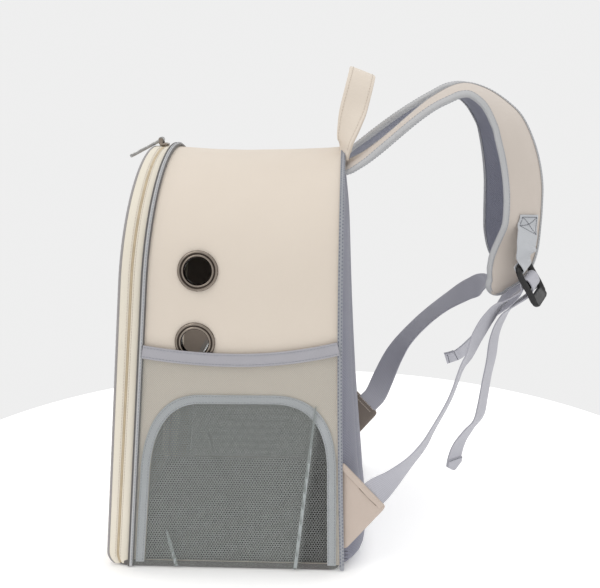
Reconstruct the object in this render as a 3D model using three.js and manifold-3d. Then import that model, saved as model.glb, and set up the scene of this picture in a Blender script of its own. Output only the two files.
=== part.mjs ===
// Pet carrier backpack with an arched body, mesh side windows and padded shoulder straps.
// Frame: millimetres, +Z up, front toward -Y, straps toward +Y, origin on the underside of the base.
import * as THREE from 'three';
import { mergeVertices } from 'three/addons/utils/BufferGeometryUtils.js';
import Module from 'manifold-3d';

const wasm = await Module();
wasm.setup();

// ---------------------------------------------------------------- sizes
const HALF_W = 150;          // half width of the body
const HEIGHT = 423;          // crest of the arch
const SPRING = 297.5;        // the straight sides end here
const DOME = HEIGHT - SPRING;
const WALL = 2.5;            // side and top panel
const WALL_Z0 = 5.4;         // the wall starts above the base panel
const BASE_T = 5;
const GAP = 0.4;             // clearance between neighbouring pieces

const FRONT_Y = -98.9, FRONT_LEAN = 0.0785;       // front seam line, y over z
const BACK_Y = 121.7, BACK_LEAN = -0.0066, BACK_BOW = 2.5;
const CREST_SAG = 3.6;       // dip of the crest at mid depth
const BAND = 22;             // zip band in front of the front seam
const FRONT_ROUND = 16;      // rounding of the front lower edge
const PIPING_R = 1.5;

const VENT = { bore: 13.5, neck: 15.8, hole: 16.2, flange: 20, inner: 18.5, proud: 2.6, depth: 6.8, gripAt: 5.4 };
const VENT_ROWS = [            // name, y, z
  ['upper', -19.7, 311.5],
  ['lower', -23.8, 240.1],
];

const HEM = { low: 230, frontRise: 9.1e-4, backRise: 12.7e-4, midY: 16, height: 13.5 };
const LAYER = { trim: [0.4, 1.8], binding: [0.4, 2.8], frontBinding: [0.4, 4.4], net: [3.0, 3.8], hem: [3.0, 4.8] };

const BACK_PAD = [             // z, thickness of the back padding
  [0, 18], [12, 23.5], [30, 26.5], [60, 23.5], [100, 20], [180, 15.5], [260, 12], [340, 9], [400, 4.5], [420, 2.5],
];
const PAD_SKEW = 0.14;         // the lower padding is a little fuller on the right

const STRAP = { midX: 49.5, edge: 3.2, half: 4.2, bindW: 2.8 };
const STRAP_ROWS = {           // y, z, width, tilt in degrees
  right: [
    [128, 406.2, 47, 11], [142.8, 414.7, 49, 7], [158.2, 426.1, 51, 4], [173.5, 438.9, 52, 3], [186.6, 450.2, 54, 3], [198.7, 460.3, 55, 4],
    [210.8, 469.5, 55, 6], [223.8, 477, 56, 8], [237, 482.8, 57, 9], [250, 483, 58, 12], [267, 474, 60, 20], [282, 458.5, 61, 32],
    [292, 443, 62, 41], [302, 415.5, 62, 47], [307.6, 387, 62, 49.5], [308.6, 361.5, 61, 50],
  ],
  left: [
    [128, 411.5, 47, 14], [138.7, 420, 49, 14], [150, 428.3, 50, 14], [161.2, 436.8, 51, 14], [177.9, 449.4, 53, 13], [192, 459.2, 54, 12],
    [205.6, 468, 55, 11], [219.8, 476.3, 56, 10], [234, 483.4, 57, 10], [250, 484, 58, 12], [267, 474.5, 60, 18], [282, 458.5, 61, 27],
    [291.5, 443, 62, 34], [299.5, 415.5, 62, 40], [304, 387, 62, 43], [304.5, 361.5, 61, 43],
  ],
};
const STRAP_END = {            // the same columns: the right end curls toward the bag, the left one hangs
  right: [[307.6, 343, 60, 52.5], [304.3, 326, 60, 60], [300.3, 312, 59, 65], [295.5, 300.5, 54, 68], [290, 290, 44, 69], [285.5, 282, 30, 69]],
  left: [[303.5, 343, 58, 43], [301, 327, 51, 42], [299.5, 313, 42, 40], [299, 301, 30, 40], [299.5, 294, 19, 40]],
};

const HANDLE = { width: 29, thick: 3.5 };
const HANDLE_ROWS = [          // x, y, z, width direction x, y, z (one leg, up to the middle)
  [44, 122, 422, 0.92, 0.3, -0.24], [46, 122.6, 431.5, 0.84, 0.5, -0.2], [42.5, 126.5, 448, 0.55, 0.83, -0.05],
  [36, 131, 466, 0.15, 0.97, -0.2], [29, 136, 486, 0, 0.96, -0.27], [16, 139, 498.5, 0, 0.94, -0.34],
  [0, 139.5, 502, 0, 0.93, -0.36],
];

const WEB = { width: 28, thick: 1.4 };
const BUCKLE = { at: { right: [66.6, 317, 286.8], left: [50, 324, 279] }, long: { right: [0, 0.44, -0.9], left: [0, 0.33, -0.944] },
  wide: { right: [0.89, -0.4, -0.2], left: [0.78, -0.6, -0.2] }, thick: 5, halfW: 19.5, slotHalf: 14.9,
  bars: [[-24, -18], [-5, 4], [10.8, 23]] };
const LACE = [                 // along the buckle, out of its face: the webbing woven through the bars
  [3, -10], [-5.4, -5.6], [-8.8, -0.6], [-6.6, 3.2], [-3, 4.3], [1, 4.4], [5, 3.2], [7.6, -0.6], [10.5, -5],
];
const PATCH = {                // strap row, across the strap, lift off its face: where the buckle's loop is sewn on
  right: [[15.25, -2.6, 1.9], [15.58, -2.2, 2.2], [15.95, -0.5, 3.6], [16.34, 2.7, 8.7], [16.76, 5.3, 14]],
  left: [[14.7, 0, 1.4], [15.1, 0, 1.4], [15.5, 0, 1.4], [15.9, 0, 2.2], [16.3, 0, 4]],
};
const WEB_FEED = {             // x, y, z, width direction x, y, z: from the tab up to the buckle
  right: [
    [147.4, 156.9, 85.7, 0, -0.69, 0.724], [142, 172.8, 97, 0.55, -0.55, 0.62], [132.5, 191, 112, 0.82, -0.3, 0.52],
    [121, 206, 126.6, 0.887, -0.25, 0.435], [112, 215.8, 141, 0.911, -0.19, 0.384], [99, 233.3, 169.5, 0.923, -0.19, 0.346],
    [84, 246, 198, 0.92, -0.23, 0.32], [77, 254.5, 211.2, 0.88, -0.36, 0.3], [69, 263, 228.4, 0.8, -0.5, 0.28],
    [60, 276, 247, 0.78, -0.58, 0.1], [54, 291.5, 262.5, 0.8, -0.58, -0.1],
  ],
  left: [
    [147.4, 156.6, 86, 0, -0.69, 0.724], [146.4, 164.7, 96.5, 0.06, -0.7, 0.7], [142.6, 173.5, 119, 0.3, -0.74, 0.6], [134, 185.6, 150, 0.62, -0.6, 0.48],
    [122, 201.5, 179, 0.86, -0.36, 0.3], [106, 223, 207.5, 0.91, -0.28, 0.22], [86, 248, 234.2, 0.9, -0.34, 0.1],
    [63, 270, 254, 0.8, -0.55, -0.1], [43, 291.5, 267, 0.78, -0.6, -0.2],
  ],
};
const WEB_TAIL = {
  right: [
    [50, 301.5, 258, 0.86, -0.46, -0.15], [48, 291, 243, 0.87, -0.48, 0], [45, 285, 223.3, 0.88, -0.48, 0], [48, 281.8, 199.2, 0.88, -0.48, 0],
    [48, 278, 177.2, 0.89, -0.46, 0], [48, 274.4, 150.3, 0.88, -0.48, 0], [48, 270.8, 132, 0.85, -0.52, 0], [48, 260.3, 117.6, 0.81, -0.58, 0],
    [48, 251, 102.4, 0.79, -0.62, 0], [48, 246.3, 86.8, 0.78, -0.63, 0], [48, 244.8, 71.6, 0.78, -0.63, 0],
  ],
  left: [
    [43, 316, 252, 0.8, -0.56, -0.1], [47, 302, 233, 0.97, -0.15, -0.05], [47, 285.5, 211, 0.9, 0.35, -0.15], [47, 270, 190, 0.8, 0.55, -0.25],
    [47, 257, 177.5, 0.74, 0.55, -0.38], [47, 243, 172, 0.7, 0.55, -0.45],
  ],
};

const TAB = { x: [146, 149], rootY: 123, top: 117, low: 23, tip: [[163.8, 74.2], [167, 70.2], [164.2, 66]] };

const PULL = { pinY: -79.2, pinZ: 430.3, drop: 27.7, length: 40, halfW: 4.5, thick: 3.2, barrel: 2.9, hole: 1.5, pin: 1.05 };

// ---------------------------------------------------------------- materials
const mat = (name, color, metalness = 0, roughness = 0.85) => {
  const m = new THREE.MeshStandardMaterial({ color, metalness, roughness });
  m.name = name;
  return m;
};
const MATS = {
  shell: ['cream_cloth', 0xe1d5c6], grey: ['grey_cloth', 0x9496a6], trim: ['grey_trim', 0xa9adb8],
  net: ['pocket_mesh', 0xb6b2a8], window: ['window_mesh', 0x6f7574], web: ['grey_webbing', 0xa8a7b4],
  tape: ['zip_tape', 0xb49d80], metal: ['gunmetal', 0x4a423c, 0.9, 0.4], plastic: ['black_plastic', 0x222222, 0, 0.5],
};

const part = new THREE.Group();
part.name = 'pet_carrier_backpack';
function add(name, geo, key) {
  const mesh = new THREE.Mesh(geo, mat(...MATS[key]));
  mesh.name = name;
  part.add(mesh);
}

// ---------------------------------------------------------------- solids
function clean(geo) {
  let g = geo.clone();
  for (const k of Object.keys(g.attributes)) if (k !== 'position') g.deleteAttribute(k);
  g = mergeVertices(g, 1e-4);
  const p = g.attributes.position, ix = g.index.array, keep = [];
  for (let i = 0; i < ix.length; i += 3) {
    const [a, b, c] = [ix[i], ix[i + 1], ix[i + 2]];
    if (a !== b && b !== c && a !== c) keep.push(a, b, c);
  }
  let vol = 0;
  const A = new THREE.Vector3(), B = new THREE.Vector3(), C = new THREE.Vector3();
  for (let i = 0; i < keep.length; i += 3) {
    A.fromBufferAttribute(p, keep[i]); B.fromBufferAttribute(p, keep[i + 1]); C.fromBufferAttribute(p, keep[i + 2]);
    vol += A.dot(B.cross(C));
  }
  if (vol < 0) for (let i = 0; i < keep.length; i += 3) [keep[i], keep[i + 1]] = [keep[i + 1], keep[i]];
  g.setIndex(keep);
  g.computeVertexNormals();
  return g;
}
function facing(pos, idx) {
  const g = new THREE.BufferGeometry();
  g.setAttribute('position', new THREE.Float32BufferAttribute(pos, 3));
  g.setIndex(idx);
  return clean(g);
}
// A thin closed body between two grids of points.
function sheetSolid(outer, inner) {
  const nu = outer.length, nv = outer[0].length, idx = [];
  const pos = [outer, inner].flat(3);
  const o = (i, j) => i * nv + j, n = (i, j) => nu * nv + i * nv + j;
  const quad = (a, b, c, d) => idx.push(a, b, c, a, c, d);
  for (let i = 0; i < nu - 1; i++) {
    for (let j = 0; j < nv - 1; j++) {
      quad(o(i, j), o(i + 1, j), o(i + 1, j + 1), o(i, j + 1));
      quad(n(i, j), n(i, j + 1), n(i + 1, j + 1), n(i + 1, j));
    }
    quad(o(i + 1, 0), o(i, 0), n(i, 0), n(i + 1, 0));
    quad(o(i, nv - 1), o(i + 1, nv - 1), n(i + 1, nv - 1), n(i, nv - 1));
  }
  for (let j = 0; j < nv - 1; j++) {
    quad(o(0, j), o(0, j + 1), n(0, j + 1), n(0, j));
    quad(o(nu - 1, j + 1), o(nu - 1, j), n(nu - 1, j), n(nu - 1, j + 1));
  }
  return facing(pos, idx);
}
// A closed body through a row of convex rings.
function loft(rings) {
  const m = rings[0].length, n = rings.length, idx = [];
  const at = (i, k) => i * m + (k % m);
  for (let i = 0; i < n - 1; i++) for (let k = 0; k < m; k++) {
    idx.push(at(i, k), at(i + 1, k), at(i + 1, k + 1), at(i, k), at(i + 1, k + 1), at(i, k + 1));
  }
  for (let k = 1; k < m - 1; k++) {
    idx.push(at(0, 0), at(0, k), at(0, k + 1));
    idx.push(at(n - 1, 0), at(n - 1, k + 1), at(n - 1, k));
  }
  return facing(rings.flat(2), idx);
}
// Catmull-Rom through rows of numbers.
function smooth(rows, n) {
  const m = rows.length - 1, out = [];
  for (let i = 0; i <= n; i++) out.push(onRows(rows, m * i / n));
  return out;
}
function onRows(rows, f0) {
  const m = rows.length - 1, f = Math.min(f0, m - 1e-9), k = Math.floor(f), t = f - k;
  const a = rows[Math.max(k - 1, 0)], b = rows[k], c = rows[k + 1], d = rows[Math.min(k + 2, m)];
  return b.map((_, q) => 0.5 * (2 * b[q] + (c[q] - a[q]) * t + (2 * a[q] - 5 * b[q] + 4 * c[q] - d[q]) * t * t
    + (3 * b[q] - a[q] - 3 * c[q] + d[q]) * t * t * t));
}
const V = (p) => new THREE.Vector3(...p);
const table = (rows, z) => {
  for (let i = 1; i < rows.length; i++) if (z <= rows[i][0]) {
    const [z0, a] = rows[i - 1], [z1, b] = rows[i];
    return a + (b - a) * (z - z0) / (z1 - z0);
  }
  return rows[rows.length - 1][1];
};
// A flat band through rows of x, y, z, width direction; side mirrors it.
function band(rows, n, width, thick, side = 1) {
  const st = smooth(rows, n);
  const rings = st.map((r, i) => {
    const p = V(r), t = V(st[Math.min(i + 1, n)]).sub(V(st[Math.max(i - 1, 0)])).normalize();
    const w = V(r.slice(3, 6));
    w.addScaledVector(t, -w.dot(t)).normalize();
    const u = t.clone().cross(w);
    return [[-1, -1], [1, -1], [1, 1], [-1, 1]].map(([a, b]) => {
      const q = p.clone().addScaledVector(w, a * width / 2).addScaledVector(u, b * thick / 2);
      return [q.x * side, q.y, q.z];
    });
  });
  return loft(rings);
}
function toManifold(geo) {
  const g = clean(geo);
  return new wasm.Manifold(new wasm.Mesh({ numProp: 3, vertProperties: new Float32Array(g.attributes.position.array), triVerts: new Uint32Array(g.index.array) }));
}
function fromManifold(m) {
  const k = m.getMesh();
  return facing(Array.from(k.vertProperties), Array.from(k.triVerts));
}
// A plate drawn in y, z and thickened along x.
function sidePlate(shape, x0, x1) {
  const g = new THREE.ExtrudeGeometry(shape, { depth: x1 - x0, bevelEnabled: false, curveSegments: 8 });
  g.applyMatrix4(new THREE.Matrix4().makeBasis(V([0, 1, 0]), V([0, 0, 1]), V([1, 0, 0])));
  g.translate(x0, 0, 0);
  return clean(g);
}

// ---------------------------------------------------------------- body outline
const yFront = (z) => FRONT_Y + FRONT_LEAN * z;
const yBack = (z) => BACK_Y + BACK_LEAN * z - BACK_BOW * Math.sin(Math.PI * Math.min(Math.max(z / HEIGHT, 0), 1));
const roundIn = (z) => (z < FRONT_ROUND ? FRONT_ROUND - Math.sqrt(FRONT_ROUND ** 2 - (FRONT_ROUND - z) ** 2) : 0);
const yZip = (z, k) => yFront(z) - k * (BAND - roundIn(z)) / BAND;

function arch(z0, sides = 3, dome = 20) {
  const st = [];
  for (let i = 0; i < sides; i++) st.push({ x: HALF_W, z: z0 + (SPRING - z0) * (i / sides) ** 3, nx: 1, nz: 0, top: 0 });
  for (let i = 0; i <= dome; i++) {
    const t = Math.PI * i / dome, c = Math.cos(t), s = Math.sin(t), n = Math.hypot(c / HALF_W, s / DOME);
    st.push({ x: HALF_W * c, z: SPRING + DOME * s, nx: c / HALF_W / n, nz: s / DOME / n, top: s * s });
  }
  for (let i = sides - 1; i >= 0; i--) st.push({ ...st[i], x: -HALF_W, nx: -1 });
  return st;
}
// A strip that follows the arch from line y0(z) to y1(z), lifted off the outline between two offsets.
function archStrip(y0, y1, [low, high], { z0 = WALL_Z0, across = 1, sag = 0, sides = 3 } = {}) {
  const grid = (off) => arch(z0, sides).map((s) => Array.from({ length: across + 1 }, (_, j) => {
    const v = j / across, dip = sag * s.top * Math.sin(Math.PI * v);
    return [s.x + s.nx * off, y0(s.z) + (y1(s.z) - y0(s.z)) * v, s.z + s.nz * off - dip];
  }));
  return sheetSolid(grid(high), grid(low));
}
// Rows of half width and height inside the outline.
function outlineRows(inset, zs, dome = 10) {
  const rows = zs.map((z) => [HALF_W - inset, z]);
  for (let i = 0; i <= dome; i++) {
    const t = (Math.PI / 2) * (i / dome) * 0.935;
    rows.push([(HALF_W - inset) * Math.cos(t), SPRING + (DOME - inset) * Math.sin(t)]);
  }
  return rows;
}

// ---------------------------------------------------------------- side openings
function windowLine(grow, bottom) {
  const p = new THREE.Path();
  p.moveTo(-81.6 - grow, bottom);
  p.lineTo(-72.5 - grow, 110);
  p.quadraticCurveTo(-63 - grow, 178 + grow, -18, 177.2 + grow);
  p.lineTo(50, 177.6 + grow);
  p.quadraticCurveTo(106 + grow, 180 + grow, 107 + grow, 110);
  p.lineTo(107.8 + grow, bottom);
  return p.getPoints(7);
}
const windowShape = (grow, bottom) => new THREE.Shape(windowLine(grow, bottom));

function ventPose(z, y) {
  const t = Math.asin(Math.max(z - SPRING, 0) / DOME), n = V([Math.cos(t) / HALF_W, 0, Math.sin(t) / DOME]).normalize();
  return { p: V([HALF_W * Math.cos(t), y, z]), n };
}
function placed(geo, { p, n }, side) {
  const g = geo.clone();
  const nn = V([n.x * side, n.y, n.z]);
  g.applyQuaternion(new THREE.Quaternion().setFromUnitVectors(V([0, 1, 0]), nn));
  g.translate(p.x * side, p.y, p.z);
  return clean(g);
}

// ---------------------------------------------------------------- body panels
let wall = toManifold(archStrip((z) => yFront(z) + GAP, (z) => yBack(z) - GAP, [-WALL, 0], { across: 2, sag: CREST_SAG }));
wall = wall.subtract(toManifold(sidePlate(windowShape(0, 8), -HALF_W - 20, HALF_W + 20)));
for (const side of [1, -1]) for (const [, y, z] of VENT_ROWS) {
  wall = wall.subtract(toManifold(placed(new THREE.CylinderGeometry(VENT.hole, VENT.hole, 40, 18), ventPose(z, y), side)));
}
add('side_top_panel', fromManifold(wall), 'shell');

const baseShape = new THREE.Shape();
{
  const [x, y0, y1, r] = [HALF_W - 0.5, -109, 119, 8];
  baseShape.moveTo(-x + r, y0); baseShape.lineTo(x - r, y0); baseShape.quadraticCurveTo(x, y0, x, y0 + r);
  baseShape.lineTo(x, y1 - r); baseShape.quadraticCurveTo(x, y1, x - r, y1); baseShape.lineTo(-x + r, y1);
  baseShape.quadraticCurveTo(-x, y1, -x, y1 - r); baseShape.lineTo(-x, y0 + r); baseShape.quadraticCurveTo(-x, y0, -x + r, y0);
}
add('base_panel', clean(new THREE.ExtrudeGeometry(baseShape, { depth: BASE_T, bevelEnabled: false, curveSegments: 4 })), 'shell');

{
  const cols = 6, rows = outlineRows(3.6, [1.2, 3, 6, 10, FRONT_ROUND, 80, 190], 8);
  const grid = (t) => rows.map(([hw, z]) => Array.from({ length: cols + 1 }, (_, j) => {
    const u = 2 * j / cols - 1, crown = 5 * (1 - u * u) * Math.sin(Math.PI * z / HEIGHT);
    return [hw * u, yZip(z, BAND) - 1 - crown + t, z];
  }));
  add('front_panel', sheetSolid(grid(0), grid(WALL)), 'shell');
}
{
  const cols = 12, rows = outlineRows(1.5, [1, 7, 16, 30, 50, 90, 150, 220], 8);
  const grid = (outer) => rows.map(([hw, z]) => Array.from({ length: cols + 1 }, (_, j) => {
    const x = hw * Math.sin((j / cols - 0.5) * Math.PI), flat = Math.min(Math.abs(x) / (hw - 5), 1);
    const low = Math.min(Math.max((110 - z) / 70, 0), 1);
    const puff = table(BACK_PAD, z) * (1 + PAD_SKEW * low * x / HALF_W) * Math.sqrt(1 - flat ** 6);
    return [x, yBack(z) + GAP + (outer ? 0.8 + puff : 0), z];
  }));
  add('back_panel', sheetSolid(grid(true), grid(false)), 'grey');
}

// ---------------------------------------------------------------- zip band and bound seams
add('zip_band_rear', archStrip((z) => yZip(z, 8.6), (z) => yFront(z) - GAP + 0.2, [-WALL, 0], { z0: 8, sides: 6 }), 'shell');
add('zipper', archStrip((z) => yZip(z, 11.5), (z) => yZip(z, 9), [-2, 0.3], { z0: 8, sides: 6 }), 'tape');
add('zip_band_front', archStrip((z) => yZip(z, 19.4), (z) => yZip(z, 11.9), [-WALL, 0], { z0: 8, sides: 6 }), 'shell');
add('front_binding', archStrip((z) => yFront(z) - 0.8, (z) => yFront(z) + 7.2, LAYER.frontBinding, { z0: 1.2 }), 'trim');
add('back_binding', archStrip((z) => yBack(z) - 1.2, (z) => yBack(z) + 3.6, LAYER.binding, { z0: 1.2, sides: 6 }), 'trim');
{
  const ring = (s) => Array.from({ length: 6 }, (_, k) => {
    const a = k * Math.PI / 3, off = -1.2 + PIPING_R * Math.cos(a), dy = PIPING_R * Math.sin(a);
    return [s.x + s.nx * off, yZip(s.z, BAND) + dy, s.z + s.nz * off];
  });
  add('front_piping', loft(arch(2.6, 7).map(ring)), 'trim');
}
{
  const Y = yZip(HEIGHT, 10.25), Z = HEIGHT + 0.5;
  const box = (x, y, z, dx, dy, dz) => { const g = new THREE.BoxGeometry(dx, dy, dz); g.translate(x, y, z); return toManifold(g); };
  const ear = 1.5, earX = PULL.halfW + GAP + ear / 2 + 0.1;
  let s = box(0, Y, Z + 1.6, 14, 9, 2.8);
  for (const k of [1, -1]) s = s.add(box(k * earX, PULL.pinY, Z + 5, ear, 4.4, 6.5));
  const pin = new THREE.CylinderGeometry(PULL.pin, PULL.pin, 2 * earX, 12);
  pin.rotateZ(Math.PI / 2); pin.translate(0, PULL.pinY, PULL.pinZ);
  add('zip_slider', fromManifold(s.add(toManifold(pin))), 'metal');

  const cyl = (r, w) => { const g = new THREE.CylinderGeometry(r, r, w, 16); g.rotateZ(Math.PI / 2); return toManifold(g); };
  const tab = new THREE.Shape();
  const [h, L, r] = [PULL.halfW, PULL.length, 3.5];
  tab.moveTo(-h, 0); tab.lineTo(h, 0); tab.lineTo(h, L - r); tab.quadraticCurveTo(h, L, h - r, L); tab.lineTo(-h + r, L); tab.quadraticCurveTo(-h, L, -h, L - r);
  const flat = new THREE.ExtrudeGeometry(tab, { depth: PULL.thick, bevelEnabled: false, curveSegments: 6 });
  flat.translate(0, 0, -PULL.thick / 2);
  flat.applyMatrix4(new THREE.Matrix4().makeBasis(V([-1, 0, 0]), V([0, -1, 0]), V([0, 0, 1])));
  let p = toManifold(flat).add(cyl(PULL.barrel, 2 * PULL.halfW)).subtract(cyl(PULL.hole, 20));
  const g = fromManifold(p);
  g.rotateX(PULL.drop * Math.PI / 180);
  g.translate(0, PULL.pinY, PULL.pinZ);
  add('zip_pull', clean(g), 'metal');
}

// ---------------------------------------------------------------- sides: vents, window, pocket
const hemTop = (y) => HEM.low + (y < HEM.midY ? HEM.frontRise : HEM.backRise) * (y - HEM.midY) ** 2;
const ventProfile = [
  [VENT.bore, -VENT.depth], [VENT.inner, -VENT.depth], [VENT.inner, -VENT.gripAt], [VENT.neck, -VENT.gripAt], [VENT.neck, GAP],
  [VENT.flange, GAP], [VENT.flange, 1.3], [VENT.flange - 2, VENT.proud], [VENT.bore + 1.6, VENT.proud], [VENT.bore, 1.3], [VENT.bore, -VENT.depth],
].map(([r, h]) => new THREE.Vector2(r, h));

for (const [name, side] of [['right', 1], ['left', -1]]) {
  for (const [row, y, z] of VENT_ROWS) {
    add(`vent_${row}_${name}`, placed(new THREE.LatheGeometry(ventProfile, 18), ventPose(z, y), side), 'metal');
  }
  const flip = (x0, x1) => (side > 0 ? [x0, x1] : [-x1, -x0]);
  add(`window_net_${name}`, sidePlate(windowShape(-0.5, 8.5), ...flip(HALF_W - 2, HALF_W - 1)), 'window');
  const ring = new THREE.Shape([...windowLine(9.2, 6), ...windowLine(0, 6).reverse()]);
  add(`window_binding_${name}`, sidePlate(ring, ...flip(HALF_W + LAYER.trim[0], HALF_W + LAYER.trim[1])), 'trim');

  const across = 9, up = 4;
  const pocket = (off) => Array.from({ length: across + 1 }, (_, i) => Array.from({ length: up + 1 }, (_, j) => {
    const u = i / across, v = j / up;
    let z = 6, y = 0;
    for (let k = 0; k < 4; k++) { y = yFront(z) + 7.8 + (yBack(z) - 3.2 - yFront(z) - 7.8) * u; z = 6 + (hemTop(y) - HEM.height - GAP - 6) * v; }
    return [side * (HALF_W + off + 1.6 * Math.sin(Math.PI * u) * Math.sin(Math.PI * v)), y, z];
  }));
  add(`pocket_net_${name}`, sheetSolid(pocket(LAYER.net[1]), pocket(LAYER.net[0])), 'net');
  const hem = (off) => Array.from({ length: across + 1 }, (_, i) => [0, 1].map((j) => {
    const u = i / across;
    let z = 230, y = 0;
    for (let k = 0; k < 4; k++) { y = yFront(z) + 7.8 + (yBack(z) - 3.2 - yFront(z) - 7.8) * u; z = hemTop(y) - HEM.height * (1 - j); }
    return [side * (HALF_W + off), y, z];
  }));
  add(`pocket_hem_${name}`, sheetSolid(hem(LAYER.hem[1]), hem(LAYER.hem[0])), 'trim');

  const tab = new THREE.Shape([[TAB.rootY, TAB.top], ...TAB.tip, [TAB.rootY + 4, TAB.low], [TAB.rootY, TAB.low]].map(([y, z]) => new THREE.Vector2(y, z)));
  add(`tab_${name}`, sidePlate(tab, ...flip(...TAB.x)), 'shell');
}

// ---------------------------------------------------------------- handle
{
  const leg = HANDLE_ROWS, rest = leg.slice(0, -1).reverse().map(([x, y, z, a, b, c]) => [-x, y, z, -a, b, c]);
  add('carry_handle', band([...leg, ...rest], 28, HANDLE.width, HANDLE.thick), 'shell');
}

// ---------------------------------------------------------------- shoulder straps
const STRAP_N = 30;
function strapFrame(name, f) {
  const all = [...STRAP_ROWS[name], ...STRAP_END[name]], m = all.length - 1, [y, z, width, deg] = onRows(all, f);
  const a = onRows(all, Math.max(f - 0.05, 0)), b = onRows(all, Math.min(f + 0.05, m));
  const l = Math.hypot(b[0] - a[0], b[1] - a[1]), t = V([0, (b[0] - a[0]) / l, (b[1] - a[1]) / l]);
  const n0 = V([0, -t.z, t.y]), k = deg * Math.PI / 180;
  const w = V([Math.cos(k), 0, 0]).addScaledVector(n0, -Math.sin(k)), n = V([Math.sin(k), 0, 0]).addScaledVector(n0, Math.cos(k));
  return { p: V([STRAP.midX, y, z]), t, w, n, width };
}
const spot = (f, a, b, side, along = 0) => {
  const q = f.p.clone().addScaledVector(f.w, a).addScaledVector(f.n, b).addScaledVector(f.t, along);
  return [q.x * side, q.y, q.z];
};
function buckleAxes(name) {
  const bl = V(BUCKLE.long[name]).normalize(), bw = V(BUCKLE.wide[name]);
  bw.addScaledVector(bl, -bw.dot(bl)).normalize();
  return { bl, bw, bn: bw.clone().cross(bl) };
}
const onBuckle = (name, L, N) => {
  const { bl, bw, bn } = buckleAxes(name), q = V(BUCKLE.at[name]).addScaledVector(bl, L).addScaledVector(bn, N);
  return [q.x, q.y, q.z, bw.x, bw.y, bw.z];
};

for (const [name, side] of [['right', 1], ['left', -1]]) {
  const strapStations = Array.from({ length: STRAP_N + 1 }, (_, i) => strapFrame(name, (STRAP_ROWS[name].length + STRAP_END[name].length - 1) * i / STRAP_N));
  const half = (sign) => {
    const ring = (f, hw, along) => [[-hw, 0.2], [hw, 0.2], [hw, 2.8], [hw * 0.85, STRAP.half], [-hw * 0.85, STRAP.half], [-hw, 2.8]]
      .map(([a, b]) => spot(f, a, b * sign, side, along));
    const rings = strapStations.map((f) => ring(f, f.width / 2 - STRAP.edge, 0));
    const last = strapStations[STRAP_N];
    rings.push(ring(last, (last.width / 2 - STRAP.edge) * 0.55, (last.width / 2 - STRAP.edge) * 0.78 - 0.6));
    return loft(rings);
  };
  add(`strap_cover_${name}`, half(1), 'shell');
  add(`strap_lining_${name}`, half(-1), 'grey');

  const lip = [[0, -4], [1.9, -4.4], [STRAP.bindW, -2.4], [STRAP.bindW, 2.4], [1.9, 4.4], [0, 4]];
  const edge = (f, c, s) => lip.map(([r, b]) => {
    const d = f.width / 2 - STRAP.bindW + r;
    return spot(f, c * d, b, side, s * d);
  });
  const rings = strapStations.map((f) => edge(f, 1, 0));
  const last = strapStations[STRAP_N];
  for (let k = 1; k < 4; k++) rings.push(edge(last, Math.cos(k * Math.PI / 4), Math.sin(k * Math.PI / 4)));
  rings.push(...strapStations.map((f) => edge(f, -1, 0)).reverse());
  add(`strap_binding_${name}`, loft(rings), 'trim');

  const sewn = PATCH[name].map(([f, a, lift]) => { const k = strapFrame(name, f), q = spot(k, a, STRAP.half + lift, 1); return [...q, k.w.x, k.w.y, k.w.z]; });
  const bar = onBuckle(name, 0, 0), turn = side > 0 ? [0, 0, 0, 0.23, 0.29] : [0, 0, 0, 0, 0], strapW = sewn[4].slice(3);
  sewn.forEach((row, i) => { for (const j of [3, 4, 5]) row[j] += (bar[j] - row[j]) * turn[i]; });
  const loop = [[-34, side > 0 ? 10 : 9], [-28, 5.4], [-22.5, 4.2], [-18.2, 3.9], [-16, 2.3], [-15.8, -0.2], [-16.2, -2.5], [-18.2, -3.9], [-22, -4.2], [-25, -4]].map(([L, N], i) => {
    const row = onBuckle(name, L, N), k = side > 0 ? [0.85, 0.45, 0.1][i] ?? 0 : 0;
    return row.map((v, j) => (j < 3 ? v : v + (strapW[j - 3] - v) * k));
  });
  add(`buckle_loop_${name}`, band([...sewn, ...loop], 34, WEB.width, WEB.thick, side), 'web');

  const frame = new THREE.Shape();
  const [W, L0, L1, r] = [BUCKLE.halfW, BUCKLE.bars[0][0], BUCKLE.bars[2][1], 5];
  frame.moveTo(-W + r, L0); frame.lineTo(W - r, L0); frame.quadraticCurveTo(W, L0, W, L0 + r); frame.lineTo(W, L1 - r); frame.quadraticCurveTo(W, L1, W - r, L1);
  frame.lineTo(-W + r, L1); frame.quadraticCurveTo(-W, L1, -W, L1 - r); frame.lineTo(-W, L0 + r); frame.quadraticCurveTo(-W, L0, -W + r, L0);
  for (const k of [0, 1]) {
    const s = new THREE.Path(), [a, b, c] = [BUCKLE.bars[k][1], BUCKLE.bars[k + 1][0], BUCKLE.slotHalf];
    s.moveTo(-c, a); s.lineTo(-c, b); s.lineTo(c, b); s.lineTo(c, a);
    frame.holes.push(s);
  }
  const plate = new THREE.ExtrudeGeometry(frame, { depth: BUCKLE.thick, bevelEnabled: false, curveSegments: 3 });
  plate.translate(0, 0, -BUCKLE.thick / 2);
  const { bl, bw, bn } = buckleAxes(name);
  plate.applyMatrix4(new THREE.Matrix4().makeBasis(bw, bl, bn).setPosition(...BUCKLE.at[name]));
  if (side < 0) plate.scale(-1, 1, 1);
  add(`buckle_${name}`, clean(plate), 'plastic');

  const lace = LACE.map(([L, N]) => onBuckle(name, L, N));
  add(`webbing_${name}`, band([...WEB_FEED[name], ...lace, ...WEB_TAIL[name]], 72, WEB.width, WEB.thick, side), 'web');
}

export default part;
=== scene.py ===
# Pet carrier backpack: arched body with mesh side windows, net side pockets, a zip round the front,
# a padded air-mesh back and two padded shoulder straps. Tables are in millimetres, meshes in metres.
import math

import bmesh
import bpy
import numpy as np
from mathutils import Matrix, Vector
from mathutils.geometry import delaunay_2d_cdt


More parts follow.
